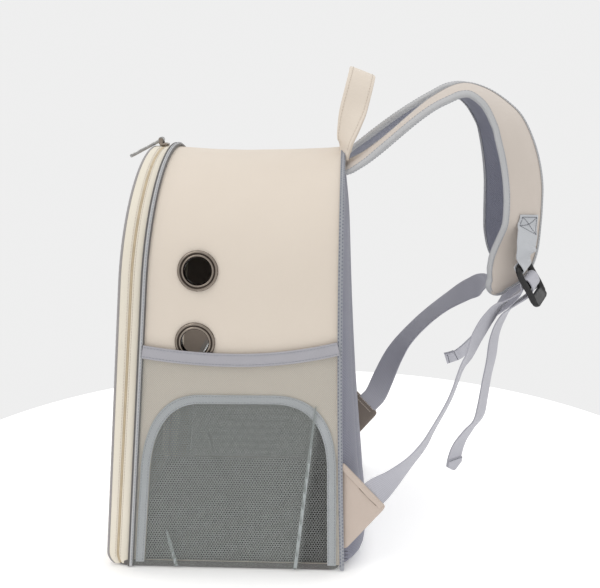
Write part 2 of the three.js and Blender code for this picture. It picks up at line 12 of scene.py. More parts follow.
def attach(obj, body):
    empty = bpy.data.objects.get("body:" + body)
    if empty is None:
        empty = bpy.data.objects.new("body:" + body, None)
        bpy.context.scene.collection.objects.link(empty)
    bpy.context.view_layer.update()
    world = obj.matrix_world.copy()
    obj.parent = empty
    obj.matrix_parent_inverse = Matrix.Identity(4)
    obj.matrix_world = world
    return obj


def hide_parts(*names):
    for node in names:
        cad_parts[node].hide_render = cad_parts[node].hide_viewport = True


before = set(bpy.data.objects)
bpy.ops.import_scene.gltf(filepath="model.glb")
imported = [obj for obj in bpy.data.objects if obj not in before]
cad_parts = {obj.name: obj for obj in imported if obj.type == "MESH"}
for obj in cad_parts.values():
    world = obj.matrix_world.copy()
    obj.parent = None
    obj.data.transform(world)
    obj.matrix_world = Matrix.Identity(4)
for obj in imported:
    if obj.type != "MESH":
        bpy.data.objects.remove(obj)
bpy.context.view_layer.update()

MM = 0.001
SCENE = bpy.context.scene
SIDES = (("right", 1), ("left", -1))

# ------------------------------------------------------------------ sizes, as in the part's source
HALF_W, HEIGHT, SPRING = 150.0, 423.0, 297.5
DOME = HEIGHT - SPRING
WALL, WALL_Z0, BASE_T = 2.5, 5.4, 5.0
FRONT_ROUND, BAND, CREST_SAG = 16.0, 22.0, 3.6
VENTS = (("upper", -19.7, 311.5), ("lower", -23.8, 240.1))
HEM_LOW, HEM_MID_Y, HEM_H = 230.0, 16.0, 13.5
BACK_PAD = np.array([[0, 18], [12, 23.5], [30, 26.5], [60, 23.5], [100, 20], [180, 15.5], [260, 12], [340, 9], [400, 4.5], [420, 2.5]], float)
PAD_SKEW = 0.14
STRAP_X = 49.5
STRAP_ROWS = {  # y, z, width, tilt in degrees
    "right": [
        [128, 406.2, 47, 11], [142.8, 414.7, 49, 7], [158.2, 426.1, 51, 4], [173.5, 438.9, 52, 3], [186.6, 450.2, 54, 3], [198.7, 460.3, 55, 4],
        [210.8, 469.5, 55, 6], [223.8, 477, 56, 8], [237, 482.8, 57, 9], [250, 483, 58, 12], [267, 474, 60, 20], [282, 458.5, 61, 32],
        [292, 443, 62, 41], [302, 415.5, 62, 47], [307.6, 387, 62, 49.5], [308.6, 361.5, 61, 50],
    ],
    "left": [
        [128, 411.5, 47, 14], [138.7, 420, 49, 14], [150, 428.3, 50, 14], [161.2, 436.8, 51, 14], [177.9, 449.4, 53, 13], [192, 459.2, 54, 12],
        [205.6, 468, 55, 11], [219.8, 476.3, 56, 10], [234, 483.4, 57, 10], [250, 484, 58, 12], [267, 474.5, 60, 18], [282, 458.5, 61, 27],
        [291.5, 443, 62, 34], [299.5, 415.5, 62, 40], [304, 387, 62, 43], [304.5, 361.5, 61, 43],
    ],
}
STRAP_END = {
    "right": [[307.6, 343, 60, 52.5], [304.3, 326, 60, 60], [300.3, 312, 59, 65], [295.5, 300.5, 54, 68], [290, 290, 44, 69], [285.5, 282, 30, 69]],
    "left": [[303.5, 343, 58, 43], [301, 327, 51, 42], [299.5, 313, 42, 40], [299, 301, 30, 40], [299.5, 294, 19, 40]],
}
HANDLE_ROWS = [  # x, y, z, width direction, one leg up to the middle
    [44, 122, 422, 0.92, 0.3, -0.24], [46, 122.6, 431.5, 0.84, 0.5, -0.2], [42.5, 126.5, 448, 0.55, 0.83, -0.05],
    [36, 131, 466, 0.15, 0.97, -0.2], [29, 136, 486, 0, 0.96, -0.27], [16, 139, 498.5, 0, 0.94, -0.34], [0, 139.5, 502, 0, 0.93, -0.36],
]
WEB_W, WEB_T = 28.0, 1.4
BUCKLE_AT = {"right": [66.6, 317, 286.8], "left": [50, 324, 279]}
BUCKLE_LONG = {"right": [0, 0.44, -0.9], "left": [0, 0.33, -0.944]}
BUCKLE_WIDE = {"right": [0.89, -0.4, -0.2], "left": [0.78, -0.6, -0.2]}
LACE = [[3, -10], [-5.4, -5.6], [-8.8, -0.6], [-6.6, 3.2], [-3, 4.3], [1, 4.4], [5, 3.2], [7.6, -0.6], [10.5, -5]]
PATCH = {  # strap row, across, lift
    "right": [[15.25, -2.6, 1.9], [15.58, -2.2, 2.2], [15.95, -0.5, 3.6], [16.34, 2.7, 8.7], [16.76, 5.3, 14]],
    "left": [[14.7, 0, 1.4], [15.1, 0, 1.4], [15.5, 0, 1.4], [15.9, 0, 2.2], [16.3, 0, 4]],
}
WEB_FEED = {
    "right": [
        [147.4, 156.9, 85.7, 0, -0.69, 0.724], [142, 172.8, 97, 0.55, -0.55, 0.62], [132.5, 191, 112, 0.82, -0.3, 0.52],
        [121, 206, 126.6, 0.887, -0.25, 0.435], [112, 215.8, 141, 0.911, -0.19, 0.384], [99, 233.3, 169.5, 0.923, -0.19, 0.346],
        [84, 246, 198, 0.92, -0.23, 0.32], [77, 254.5, 211.2, 0.88, -0.36, 0.3], [69, 263, 228.4, 0.8, -0.5, 0.28],
        [60, 276, 247, 0.78, -0.58, 0.1], [54, 291.5, 262.5, 0.8, -0.58, -0.1],
    ],
    "left": [
        [147.4, 156.6, 86, 0, -0.69, 0.724], [146.4, 164.7, 96.5, 0.06, -0.7, 0.7], [142.6, 173.5, 119, 0.3, -0.74, 0.6], [134, 185.6, 150, 0.62, -0.6, 0.48],
        [122, 201.5, 179, 0.86, -0.36, 0.3], [106, 223, 207.5, 0.91, -0.28, 0.22], [86, 248, 234.2, 0.9, -0.34, 0.1],
        [63, 270, 254, 0.8, -0.55, -0.1], [43, 291.5, 267, 0.78, -0.6, -0.2],
    ],
}
WEB_TAIL = {
    "right": [
        [50, 301.5, 258, 0.86, -0.46, -0.15], [48, 291, 243, 0.87, -0.48, 0], [45, 285, 223.3, 0.88, -0.48, 0], [48, 281.8, 199.2, 0.88, -0.48, 0],
        [48, 278, 177.2, 0.89, -0.46, 0], [48, 274.4, 150.3, 0.88, -0.48, 0], [48, 270.8, 132, 0.85, -0.52, 0], [48, 260.3, 117.6, 0.81, -0.58, 0],
        [48, 251, 102.4, 0.79, -0.62, 0], [48, 246.3, 86.8, 0.78, -0.63, 0], [48, 244.8, 71.6, 0.78, -0.63, 0],
    ],
    "left": [
        [43, 316, 252, 0.8, -0.56, -0.1], [47, 302, 233, 0.97, -0.15, -0.05], [47, 285.5, 211, 0.9, 0.35, -0.15], [47, 270, 190, 0.8, 0.55, -0.25],
        [47, 257, 177.5, 0.74, 0.55, -0.38], [47, 243, 172, 0.7, 0.55, -0.45],
    ],
}
TAB_X, TAB_ROOT, TAB_TOP, TAB_LOW = 147.5, 123.0, 117.0, 23.0
TAB_TIP = [[163.8, 74.2], [167, 70.2], [164.2, 66]]
PIN_Y, PIN_Z, PULL_DROP, PULL_LEN, PULL_HALF_W = -79.2, 430.3, 27.7, 40.0, 4.5
NET_PITCH, NET_HOLE = 2.7, 0.98      # window mesh: hole spacing, hole radius

# ------------------------------------------------------------------ outline of the body
def y_front(z):
    return -98.9 + 0.0785 * np.asarray(z, float)


def y_back(z):
    z = np.asarray(z, float)
    return 121.7 - 0.0066 * z - 2.5 * np.sin(np.pi * np.clip(z / HEIGHT, 0, 1))


def round_in(z):
    z = np.asarray(z, float)
    return np.where(z < FRONT_ROUND, FRONT_ROUND - np.sqrt(np.maximum(FRONT_ROUND**2 - (FRONT_ROUND - z) ** 2, 0)), 0.0)


def zip_at(z):
    """How far the zip runs in front of the front seam."""
    return np.interp(z, [0, 110, 250, 380, 423], [11.4, 10.8, 10.0, 9.6, 10.1])


def y_zip(z, k):
    return y_front(z) - k * (BAND - round_in(z)) / BAND


def hem_top(y):
    y = np.asarray(y, float)
    return HEM_LOW + np.where(y < HEM_MID_Y, 9.1e-4, 12.7e-4) * (y - HEM_MID_Y) ** 2


def arch_table(z0, n=1200):
    """Stations of the arch from the right foot over the crest to the left foot: x, z, normal x, normal z, crest share, length."""
    k = max(int(n * 0.3), 60)
    z = z0 + (SPRING - z0) * np.linspace(0, 1, k, endpoint=False)
    t = np.linspace(0, np.pi, n)
    c, s = np.cos(t), np.sin(t)
    m = np.hypot(c / HALF_W, s / DOME)
    x = np.concatenate([np.full(k, HALF_W), HALF_W * c, np.full(k, -HALF_W)])
    zz = np.concatenate([z, SPRING + DOME * s, z[::-1]])
    nx = np.concatenate([np.ones(k), c / HALF_W / m, -np.ones(k)])
    nz = np.concatenate([np.zeros(k), s / DOME / m, np.zeros(k)])
    top = np.concatenate([np.zeros(k), s * s, np.zeros(k)])
    length = np.concatenate([[0], np.cumsum(np.hypot(np.diff(x), np.diff(zz)))])
    return np.stack([x, zz, nx, nz, top, length], 1)


def arch_at(table, s):
    return np.stack([np.interp(s, table[:, 5], table[:, i]) for i in range(5)], -1)


def arch_stations(z0, step=4.0, fine=1.2):
    """Lengths along the arch, closer together round the lower front corner."""
    total = arch_table(z0)[-1, 5]
    foot = np.arange(0, 18, fine)
    mid = np.linspace(18, total - 18, int((total - 36) / step) + 1)
    return np.concatenate([foot, mid, (total - foot)[::-1]])


# ------------------------------------------------------------------ rows, frames and profiles
def on_rows(rows, f):
    rows = np.asarray(rows, float)
    m = len(rows) - 1
    f = np.clip(np.atleast_1d(np.asarray(f, float)), 0, m - 1e-9)
    k = np.floor(f).astype(int)
    t = (f - k)[:, None]
    a, b, c, d = rows[np.maximum(k - 1, 0)], rows[k], rows[k + 1], rows[np.minimum(k + 2, m)]
    return 0.5 * (2 * b + (c - a) * t + (2 * a - 5 * b + 4 * c - d) * t * t + (3 * b - a - 3 * c + d) * t**3)


def unit(v):
    return v / np.maximum(np.linalg.norm(v, axis=-1, keepdims=True), 1e-12)


def run_length(p):
    return np.concatenate([[0], np.cumsum(np.linalg.norm(np.diff(p, axis=0), axis=1))])


def resample(p, s):
    length = run_length(p)
    return np.stack([np.interp(s, length, p[:, i]) for i in range(p.shape[1])], -1)


def mirrored(p, side):
    return p * np.array([side, 1, 1])


def round_profile(width, low, high, r, across=7, crown=0.0, turn=4):
    """A closed flat section of the given width between two heights, with rounded corners: across, out."""
    h = width / 2
    pts = []
    for i in range(across):
        a = -h + r + (width - 2 * r) * i / (across - 1)
        pts.append((a, high + crown * (1 - (a / h) ** 2)))
    for i in range(1, turn):
        q = math.pi / 2 * (1 - i / turn)
        pts.append((h - r + r * math.cos(q), high - r + r * math.sin(q)))
    for i in range(1, turn):
        q = -math.pi / 2 * i / turn
        pts.append((h - r + r * math.cos(q), low + r + r * math.sin(q)))
    for i in range(across):
        a = h - r - (width - 2 * r) * i / (across - 1)
        pts.append((a, low - crown * (1 - (a / h) ** 2)))
    for i in range(1, turn):
        q = -math.pi / 2 - math.pi / 2 * i / turn
        pts.append((-h + r + r * math.cos(q), low + r + r * math.sin(q)))
    for i in range(1, turn):
        q = math.pi - math.pi / 2 * i / turn
        pts.append((-h + r + r * math.cos(q), high - r + r * math.sin(q)))
    return np.array(pts)


class Shape:
    """Vertices, quads, triangles and flat coordinates in millimetres, gathered into one mesh."""

    def __init__(self):
        self.v, self.q, self.t, self.uq, self.ut, self.mq, self.mt, self.n = [], [], [], [], [], [], [], 0

    def add(self, v, quads=None, tris=None, uvq=None, uvt=None, closed=True, mq=0, mt=0):
        v = np.asarray(v, float).reshape(-1, 3)
        q = np.zeros((0, 4), int) if quads is None else np.asarray(quads, int).reshape(-1, 4)
        t = np.zeros((0, 3), int) if tris is None else np.asarray(tris, int).reshape(-1, 3)
        uq = np.zeros((len(q), 4, 2)) if uvq is None else np.asarray(uvq, float).reshape(-1, 4, 2)
        ut = np.zeros((len(t), 3, 2)) if uvt is None else np.asarray(uvt, float).reshape(-1, 3, 2)
        if closed:
            tri = np.concatenate([t, q[:, :3], q[:, [0, 2, 3]]])
            a, b, c = v[tri[:, 0]], v[tri[:, 1]], v[tri[:, 2]]
            if (a * np.cross(b, c)).sum() < 0:
                q, t, uq, ut = q[:, ::-1], t[:, ::-1], uq[:, ::-1], ut[:, ::-1]
        self.v.append(v)
        self.q.append(q + self.n)
        self.t.append(t + self.n)
        self.uq.append(uq)
        self.ut.append(ut)
        self.mq.append(np.broadcast_to(mq, len(q)))
        self.mt.append(np.broadcast_to(mt, len(t)))
        self.n += len(v)
        return self

    def loft(self, rings, u=None, v=None, caps=True, mat=0):
        rings = np.asarray(rings, float)
        n, m, _ = rings.shape
        u = np.arange(m + 1, dtype=float) if u is None else np.asarray(u, float)
        v = np.arange(n, dtype=float) if v is None else np.asarray(v, float)
        idx = np.arange(n * m).reshape(n, m)
        a, b = idx[:-1], idx[1:]
        q = np.stack([a, np.roll(a, -1, 1), np.roll(b, -1, 1), b], -1).reshape(-1, 4)
        uu = np.tile(np.stack([u[:-1], u[1:], u[1:], u[:-1]], -1), (n - 1, 1, 1))
        vv = np.repeat(np.stack([v[:-1], v[:-1], v[1:], v[1:]], -1)[:, None], m, 1)
        uvq = np.stack([uu, vv], -1).reshape(-1, 4, 2)
        pts, tris, uvt = rings.reshape(-1, 3), None, None
        if caps:
            pts = np.concatenate([pts, rings[[0, -1]].mean(1)])
            k = np.arange(m)
            kn = (k + 1) % m
            c0, c1 = n * m, n * m + 1
            tris = np.concatenate([np.stack([np.full(m, c0), kn, k], -1), np.stack([np.full(m, c1), idx[-1][k], idx[-1][kn]], -1)])
            um = u[:-1]
            uvt = np.concatenate([
                np.stack([np.stack([um, np.full(m, v[0])], -1)] * 3, 1),
                np.stack([np.stack([um, np.full(m, v[-1])], -1)] * 3, 1),
            ])
        return self.add(pts, q, tris, uvq, uvt, closed=caps, mq=mat, mt=mat if np.isscalar(mat) else 0)

    def grid(self, outer, inner, uv, inner_mat=0, rim_mat=None):
        """A closed body between two grids of points."""
        outer, inner = np.asarray(outer, float), np.asarray(inner, float)
        nu, nv, _ = outer.shape
        o = np.arange(nu * nv).reshape(nu, nv)
        i = o + nu * nv
        rim_mat = inner_mat if rim_mat is None else rim_mat
        top = np.stack([o[:-1, :-1], o[1:, :-1], o[1:, 1:], o[:-1, 1:]], -1).reshape(-1, 4)
        low = np.stack([i[:-1, :-1], i[:-1, 1:], i[1:, 1:], i[1:, :-1]], -1).reshape(-1, 4)
        r1 = np.stack([o[1:, 0], o[:-1, 0], i[:-1, 0], i[1:, 0]], -1)
        r2 = np.stack([o[:-1, -1], o[1:, -1], i[1:, -1], i[:-1, -1]], -1)
        r3 = np.stack([o[0, :-1], o[0, 1:], i[0, 1:], i[0, :-1]], -1)
        r4 = np.stack([o[-1, 1:], o[-1, :-1], i[-1, :-1], i[-1, 1:]], -1)
        q = np.concatenate([top, low, r1, r2, r3, r4])
        flat = np.concatenate([uv.reshape(-1, 2)] * 2)
        mats = np.concatenate([np.zeros(len(top), int), np.full(len(low), inner_mat), np.full(len(q) - len(top) - len(low), rim_mat)])
        return self.add(np.concatenate([outer.reshape(-1, 3), inner.reshape(-1, 3)]), q, None, flat[q], mq=mats)

    def solid(self, outer, inner, tris, uv, inner_mat=0, rim_mat=0):
        """A closed body between two copies of one triangle net, walled along its open edges."""
        outer, inner, tris = np.asarray(outer, float), np.asarray(inner, float), np.asarray(tris, int)
        n = len(outer)
        e = np.concatenate([tris[:, [0, 1]], tris[:, [1, 2]], tris[:, [2, 0]]])
        key = np.sort(e, 1)
        _, first, count = np.unique(key, axis=0, return_index=True, return_counts=True)
        rim = e[first[count == 1]]
        walls = np.stack([rim[:, 1], rim[:, 0], rim[:, 0] + n, rim[:, 1] + n], -1)
        flat = np.concatenate([uv, uv])
        t = np.concatenate([tris, tris[:, ::-1] + n])
        mt = np.concatenate([np.zeros(len(tris), int), np.full(len(tris), inner_mat)])
        return self.add(np.concatenate([outer, inner]), walls, t, flat[walls], flat[t], mq=rim_mat, mt=mt)

    def build(self, name, mats, body="bag", replaces=(), slot=None, sharp=40.0, flat_shade=False):
        v = np.concatenate(self.v) * MM
        q, t = np.concatenate(self.q), np.concatenate(self.t)
        me = bpy.data.meshes.new(name)
        me.from_pydata(v.tolist(), [], q.tolist() + t.tolist())
        uv = np.concatenate([np.concatenate(self.uq).reshape(-1, 2), np.concatenate(self.ut).reshape(-1, 2)]) * MM
        layer = me.uv_layers.new(name="UVMap")
        layer.data.foreach_set("uv", uv.astype(np.float32).ravel())
        for m in mats if isinstance(mats, (list, tuple)) else [mats]:
            me.materials.append(m)
        mi = np.concatenate([np.concatenate(self.mq), np.concatenate(self.mt)]).astype(np.int32)
        me.polygons.foreach_set("material_index", mi)
        me.polygons.foreach_set("use_smooth", np.full(len(mi), not flat_shade, bool))
        me.update()
        if not flat_shade and sharp < 180:
            me.set_sharp_from_angle(angle=math.radians(sharp))
        return place(name, me, body, replaces)


def place(name, me, body="bag", replaces=()):
    o = bpy.data.objects.new(name, me)
    SCENE.collection.objects.link(o)
    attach(o, body)
    if replaces:
        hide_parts(*([replaces] if isinstance(replaces, str) else replaces))
    return o


def inside_loop(p, loop):
    """Which points lie inside a closed loop of points."""
    p, loop = np.asarray(p, float), np.asarray(loop, float)
    a, b = loop, np.roll(loop, -1, 0)
    hit = np.zeros(len(p), bool)
    for (x0, y0), (x1, y1) in zip(a, b):
        if y0 == y1:
            continue
        c = (p[:, 1] >= min(y0, y1)) & (p[:, 1] < max(y0, y1))
        hit ^= c & (p[:, 0] < x0 + (p[:, 1] - y0) * (x1 - x0) / (y1 - y0))
    return hit


def loop_distance(p, loop):
    a, b = np.asarray(loop, float), np.roll(np.asarray(loop, float), -1, 0)
    best = np.full(len(p), 1e9)
    for s, e in zip(a, b):
        d = e - s
        t = np.clip(((p - s) @ d) / max(d @ d, 1e-12), 0, 1)
        best = np.minimum(best, np.linalg.norm(p - s - t[:, None] * d, axis=1))
    return best


def even_loop(loop, step):
    """A closed loop resampled to about one point per step."""
    loop = np.asarray(loop, float)
    closed = np.concatenate([loop, loop[:1]])
    n = max(int(round(run_length(closed)[-1] / step)), 8)
    return resample(closed, np.linspace(0, run_length(closed)[-1], n + 1)[:-1])


def net_of(outline, holes, pitch):
    """Points and triangles that fill an outline around its holes."""
    loops = [np.asarray(x, float) for x in [outline, *holes]]
    lo, hi = loops[0].min(0), loops[0].max(0)
    gx = np.arange(lo[0] + pitch / 2, hi[0], pitch)
    gy = np.arange(lo[1] + pitch / 2, hi[1], pitch)
    g = np.stack(np.meshgrid(gx, gy, indexing="ij"), -1)
    g[::2, :, 1] += 0.25 * pitch
    g[1::2, :, 1] -= 0.25 * pitch
    g = g.reshape(-1, 2)
    keep = inside_loop(g, loops[0]) & (loop_distance(g, loops[0]) > 0.45 * pitch)
    for h in loops[1:]:
        keep &= ~inside_loop(g, h) & (loop_distance(g, h) > 0.45 * pitch)
    pts, edges, n = [], [], 0
    for lp in loops:
        k = len(lp)
        pts.append(lp)
        edges += [(n + i, n + (i + 1) % k) for i in range(k)]
        n += k
    pts = np.concatenate([*pts, g[keep]])
    v, _, f, *_ = delaunay_2d_cdt([Vector(p) for p in pts.tolist()], edges, [], 0, 1e-7)
    v = np.array([tuple(p) for p in v])
    f = np.array([tuple(x) for x in f if len(x) == 3], int)
    mid = v[f].mean(1)
    ok = inside_loop(mid, loops[0])
    for h in loops[1:]:
        ok &= ~inside_loop(mid, h)
    f = f[ok]
    a, b, c = v[f[:, 0]], v[f[:, 1]], v[f[:, 2]]
    turn = (b[:, 0] - a[:, 0]) * (c[:, 1] - a[:, 1]) - (b[:, 1] - a[:, 1]) * (c[:, 0] - a[:, 0])
    f[turn < 0] = f[turn < 0][:, ::-1]
    used = np.unique(f)
    back = np.full(len(v), -1)
    back[used] = np.arange(len(used))
    return v[used], back[f]


def lumps(p, scale, seed):
    """Smooth repeatable unevenness from -1 to 1 over points, with features about scale wide."""
    rng = np.random.default_rng(seed)
    p = np.asarray(p, float) / scale
    out = np.zeros(p.shape[:-1])
    for _ in range(9):
        d = rng.normal(size=p.shape[-1])
        d *= rng.uniform(0.6, 1.5) / np.linalg.norm(d)
        out += np.sin(2 * np.pi * (p @ d) + rng.uniform(0, 2 * np.pi))
    return out / 9 * 1.6


def stitches(shape, path, normal, pitch=3.4, length=2.5, r=0.42, lift=0.1, start=None, stop=None):
    """A row of thread stitches laid along a path."""
    path = np.asarray(path, float)
    normal = np.broadcast_to(np.asarray(normal, float), path.shape)
    total = run_length(path)[-1]
    s = np.arange(pitch / 2 if start is None else start, total if stop is None else stop, pitch)
    if not len(s):
        return
    full = np.concatenate([path, normal], 1)
    length_at = run_length(path)
    both = np.stack([np.interp(s, length_at, full[:, i]) for i in range(6)], -1)
    c, n = both[:, :3], unit(both[:, 3:])
    ahead = np.stack([np.interp(np.minimum(s + 0.6, total), length_at, path[:, i]) - np.interp(np.maximum(s - 0.6, 0), length_at, path[:, i]) for i in range(3)], -1)
    t = unit(ahead)
    n = unit(n - (n * t).sum(-1, keepdims=True) * t)
    b = np.cross(t, n)
    sides = 6
    ang = np.arange(sides) * 2 * np.pi / sides
    xs, rs = np.array([-0.5, -0.3, 0.3, 0.5]) * length, np.array([0.35, 1, 1, 0.35]) * r
    k = len(s)
    ring = (c[:, None, None] + t[:, None, None] * xs[None, :, None, None]
            + (b[:, None, None] * np.cos(ang)[None, None, :, None] + n[:, None, None] * (0.8 * np.sin(ang))[None, None, :, None]) * rs[None, :, None, None]
            + n[:, None, None] * lift)
    v = ring.reshape(-1, 3)
    base = (np.arange(k) * 4 * sides)[:, None]
    q1, capt = [], []
    for i in range(3):
        for j in range(sides):
            jn = (j + 1) % sides
            q1.append([i * sides + j, i * sides + jn, (i + 1) * sides + jn, (i + 1) * sides + j])
    for j in range(1, sides - 1):
        capt.append([0, j + 1, j])
        capt.append([3 * sides, 3 * sides + j, 3 * sides + j + 1])
    q = (base[:, :, None] + np.array(q1)[None]).reshape(-1, 4)
    tr = (base[:, :, None] + np.array(capt)[None]).reshape(-1, 3)
    shape.add(v, q, tr)


# ------------------------------------------------------------------ materials
def lin(r, g, b):
    return tuple((c / 255 / 12.92 if c / 255 <= 0.04045 else ((c / 255 + 0.055) / 1.055) ** 2.4) for c in (r, g, b)) + (1.0,)


def shade(c, k):
    return tuple(min(x * k, 1.0) for x in c[:3]) + (1.0,)


def fresh(name, colour, rough, metallic=0.0, sheen=0.0, spec=0.35):
    m = bpy.data.materials.new(name)
    m.use_nodes = True
    p = m.node_tree.nodes["Principled BSDF"]
    p.inputs["Base Color"].default_value = colour
    p.inputs["Roughness"].default_value = rough
    p.inputs["Metallic"].default_value = metallic
    p.inputs["Sheen Weight"].default_value = sheen
    p.inputs["Sheen Roughness"].default_value = 0.45
    p.inputs["Specular IOR Level"].default_value = spec
    return m, m.node_tree, p


def node(t, kind, **values):
    n = t.nodes.new(kind)
    for k, v in values.items():
        if k in n.inputs:
            n.inputs[k].default_value = v
        else:
            setattr(n, k, v)
    return n


def scaled(t, coord, x, y, z=1.0, turn=0.0):
    m = node(t, "ShaderNodeMapping")
    m.inputs["Scale"].default_value = (x, y, z)
    m.inputs["Rotation"].default_value = (0, 0, turn)
    t.links.new(coord, m.inputs["Vector"])
    return m.outputs["Vector"]


def noise(t, coord, scale, detail=3.0, rough=0.55):
    n = node(t, "ShaderNodeTexNoise", Scale=scale, Detail=detail, Roughness=rough)
    t.links.new(coord, n.inputs["Vector"])
    return n.outputs["Fac"]


def wave(t, coord, axis, profile="SIN"):
    n = node(t, "ShaderNodeTexWave", wave_type="BANDS", bands_direction=axis, wave_profile=profile, Scale=0.31416, Distortion=0.0)
    t.links.new(coord, n.inputs["Vector"])
    return n.outputs["Fac"]


def ranged(t, value, a, b, c, d, smooth=False):
    n = node(t, "ShaderNodeMapRange")
    if smooth:
        n.interpolation_type = "SMOOTHSTEP"
    for k, x in zip(("From Min", "From Max", "To Min", "To Max"), (a, b, c, d)):
        n.inputs[k].default_value = x
    t.links.new(value, n.inputs["Value"])
    return n.outputs["Result"]


def blend(t, fac, a, b, kind="MIX"):
    n = node(t, "ShaderNodeMix", data_type="RGBA", blend_type=kind)
    if isinstance(fac, (int, float)):
        n.inputs[0].default_value = fac
    else:
        t.links.new(fac, n.inputs[0])
    for i, x in ((6, a), (7, b)):
        if isinstance(x, tuple):
            n.inputs[i].default_value = x
        else:
            t.links.new(x, n.inputs[i])
    return n.outputs[2]


def calc(t, op, a, b=None):
    n = node(t, "ShaderNodeMath", operation=op)
    for i, x in enumerate((a, b)):
        if x is None:
            continue
        if isinstance(x, (int, float)):
            n.inputs[i].default_value = x
        else:
            t.links.new(x, n.inputs[i])
    return n.outputs[0]


def plain_weave(t, coord):
    """Height of a plain weave whose threads are one unit apart."""
    check = node(t, "ShaderNodeTexChecker", Scale=1.0)
    t.links.new(coord, check.inputs["Vector"])
    n = node(t, "ShaderNodeMix", data_type="FLOAT")
    t.links.new(check.outputs["Fac"], n.inputs[0])
    t.links.new(wave(t, coord, "X"), n.inputs[2])
    t.links.new(wave(t, coord, "Y"), n.inputs[3])
    return n.outputs[0]


def bumped(t, p, height, strength, distance, after=None):
    b = node(t, "ShaderNodeBump", Strength=strength, Distance=distance)
    t.links.new(height, b.inputs["Height"])
    if after is not None:
        t.links.new(after, b.inputs["Normal"])
    t.links.new(b.outputs["Normal"], p.inputs["Normal"])
    return b.outputs["Normal"]


def woven(name, colour, pitch=(0.7, 0.7), valley_shade=0.84, blotch=0.05, tint=None, rough=0.78, sheen=0.12, depth=0.12, turn=0.0, spec=0.3, soft=26.0):
    """Woven cloth: threads in the flat map, uneven dye and fibre, painted shade and more roughness where the weave is
    low.
    """
    m, t, p = fresh(name, colour, rough, sheen=sheen, spec=spec)
    tc = node(t, "ShaderNodeTexCoord")
    uv = scaled(t, tc.outputs["UV"], 1000 / pitch[0], 1000 / pitch[1], turn=turn)
    h = plain_weave(t, uv)
    broad = noise(t, tc.outputs["Object"], soft, 4.0, 0.6)
    fibre = noise(t, tc.outputs["Object"], 1400.0, 2.0)
    # painted shade: the low threads of the weave are drawn darker
    c = blend(t, ranged(t, h, 0.0, 0.7, 0.0, 1.0), shade(colour, valley_shade), colour)
    c = blend(t, ranged(t, broad, 0.34, 0.68, 0.0, 2.2 * blotch), c, tint or shade(colour, 0.55))
    c = blend(t, ranged(t, fibre, 0.3, 0.7, 0.0, 0.10), c, shade(colour, 0.6))
    t.links.new(c, p.inputs["Base Color"])
    t.links.new(ranged(t, calc(t, "ADD", h, fibre), 0.4, 1.5, min(rough + 0.1, 1.0), rough - 0.08), p.inputs["Roughness"])
    bumped(t, p, calc(t, "ADD", h, calc(t, "MULTIPLY", fibre, 0.5)), 0.6, depth * MM)
    return m


def air_mesh(name, colour, pitch=2.6, coords="UV", depth=0.5, hole_shade=0.62):
    """Knitted spacer mesh: rows of small holes with raised ribs between, the holes darkened as painted shade."""
    m, t, p = fresh(name, colour, 0.9, sheen=0.25, spec=0.2)
    tc = node(t, "ShaderNodeTexCoord")
    co = tc.outputs["UV"] if coords == "UV" else None
    if co is None:
        sep = node(t, "ShaderNodeSeparateXYZ")
        t.links.new(tc.outputs["Object"], sep.inputs[0])
        com = node(t, "ShaderNodeCombineXYZ")
        t.links.new(sep.outputs["X"], com.inputs["X"])
        t.links.new(sep.outputs["Z"], com.inputs["Y"])
        co = com.outputs[0]
    v = node(t, "ShaderNodeTexVoronoi", voronoi_dimensions="2D", feature="F1", Scale=1.0, Randomness=0.12)
    t.links.new(scaled(t, co, 1000 / pitch, 1000 / (pitch * 0.86), turn=0.7854), v.inputs["Vector"])
    hole = ranged(t, v.outputs["Distance"], 0.16, 0.46, 0.0, 1.0, smooth=True)
    fibre = noise(t, tc.outputs["Object"], 1500.0, 2.0)
    broad = noise(t, tc.outputs["Object"], 24.0, 3.0)
    # painted shade: the holes are drawn darker
    c = blend(t, hole, shade(colour, hole_shade), colour)
    c = blend(t, ranged(t, broad, 0.35, 0.7, 0.0, 0.16), c, shade(colour, 0.62))
    c = blend(t, ranged(t, fibre, 0.3, 0.7, 0.0, 0.14), c, shade(colour, 0.55))
    t.links.new(c, p.inputs["Base Color"])
    t.links.new(ranged(t, fibre, 0.3, 0.7, 0.82, 0.98), p.inputs["Roughness"])
    bumped(t, p, calc(t, "ADD", hole, calc(t, "MULTIPLY", fibre, 0.2)), 0.8, depth * MM)
    return m


def webbing_mat(name, colour):
    """Flat woven strap: long ribs crossed by fine slanting threads, with painted shade where the weave is low."""
    m, t, p = fresh(name, colour, 0.66, sheen=0.25, spec=0.4)
    tc = node(t, "ShaderNodeTexCoord")
    rib = wave(t, scaled(t, tc.outputs["UV"], 1000 / 2.0, 1000), "X")
    slant = wave(t, scaled(t, tc.outputs["UV"], 1000 / 1.3, 1000 / 1.3, turn=0.9), "X")
    cross = wave(t, scaled(t, tc.outputs["UV"], 1000, 1000 / 1.1), "Y")
    h = calc(t, "ADD", calc(t, "MULTIPLY", rib, 0.7), calc(t, "ADD", calc(t, "MULTIPLY", slant, 0.5), calc(t, "MULTIPLY", cross, 0.35)))
    fibre = noise(t, tc.outputs["Object"], 1300.0, 2.0)
    broad = noise(t, tc.outputs["Object"], 30.0, 3.0)
    # painted shade: the low parts of the weave are drawn darker
    c = blend(t, ranged(t, h, 0.2, 1.1, 0.0, 1.0), shade(colour, 0.78), colour)
    c = blend(t, ranged(t, broad, 0.35, 0.7, 0.0, 0.12), c, shade(colour, 0.6))
    c = blend(t, ranged(t, fibre, 0.3, 0.7, 0.0, 0.1), c, shade(colour, 0.6))
    t.links.new(c, p.inputs["Base Color"])
    t.links.new(ranged(t, h, 0.2, 1.3, 0.78, 0.56), p.inputs["Roughness"])
    bumped(t, p, calc(t, "ADD", h, calc(t, "MULTIPLY", fibre, 0.3)), 0.6, 0.25 * MM)
    return m


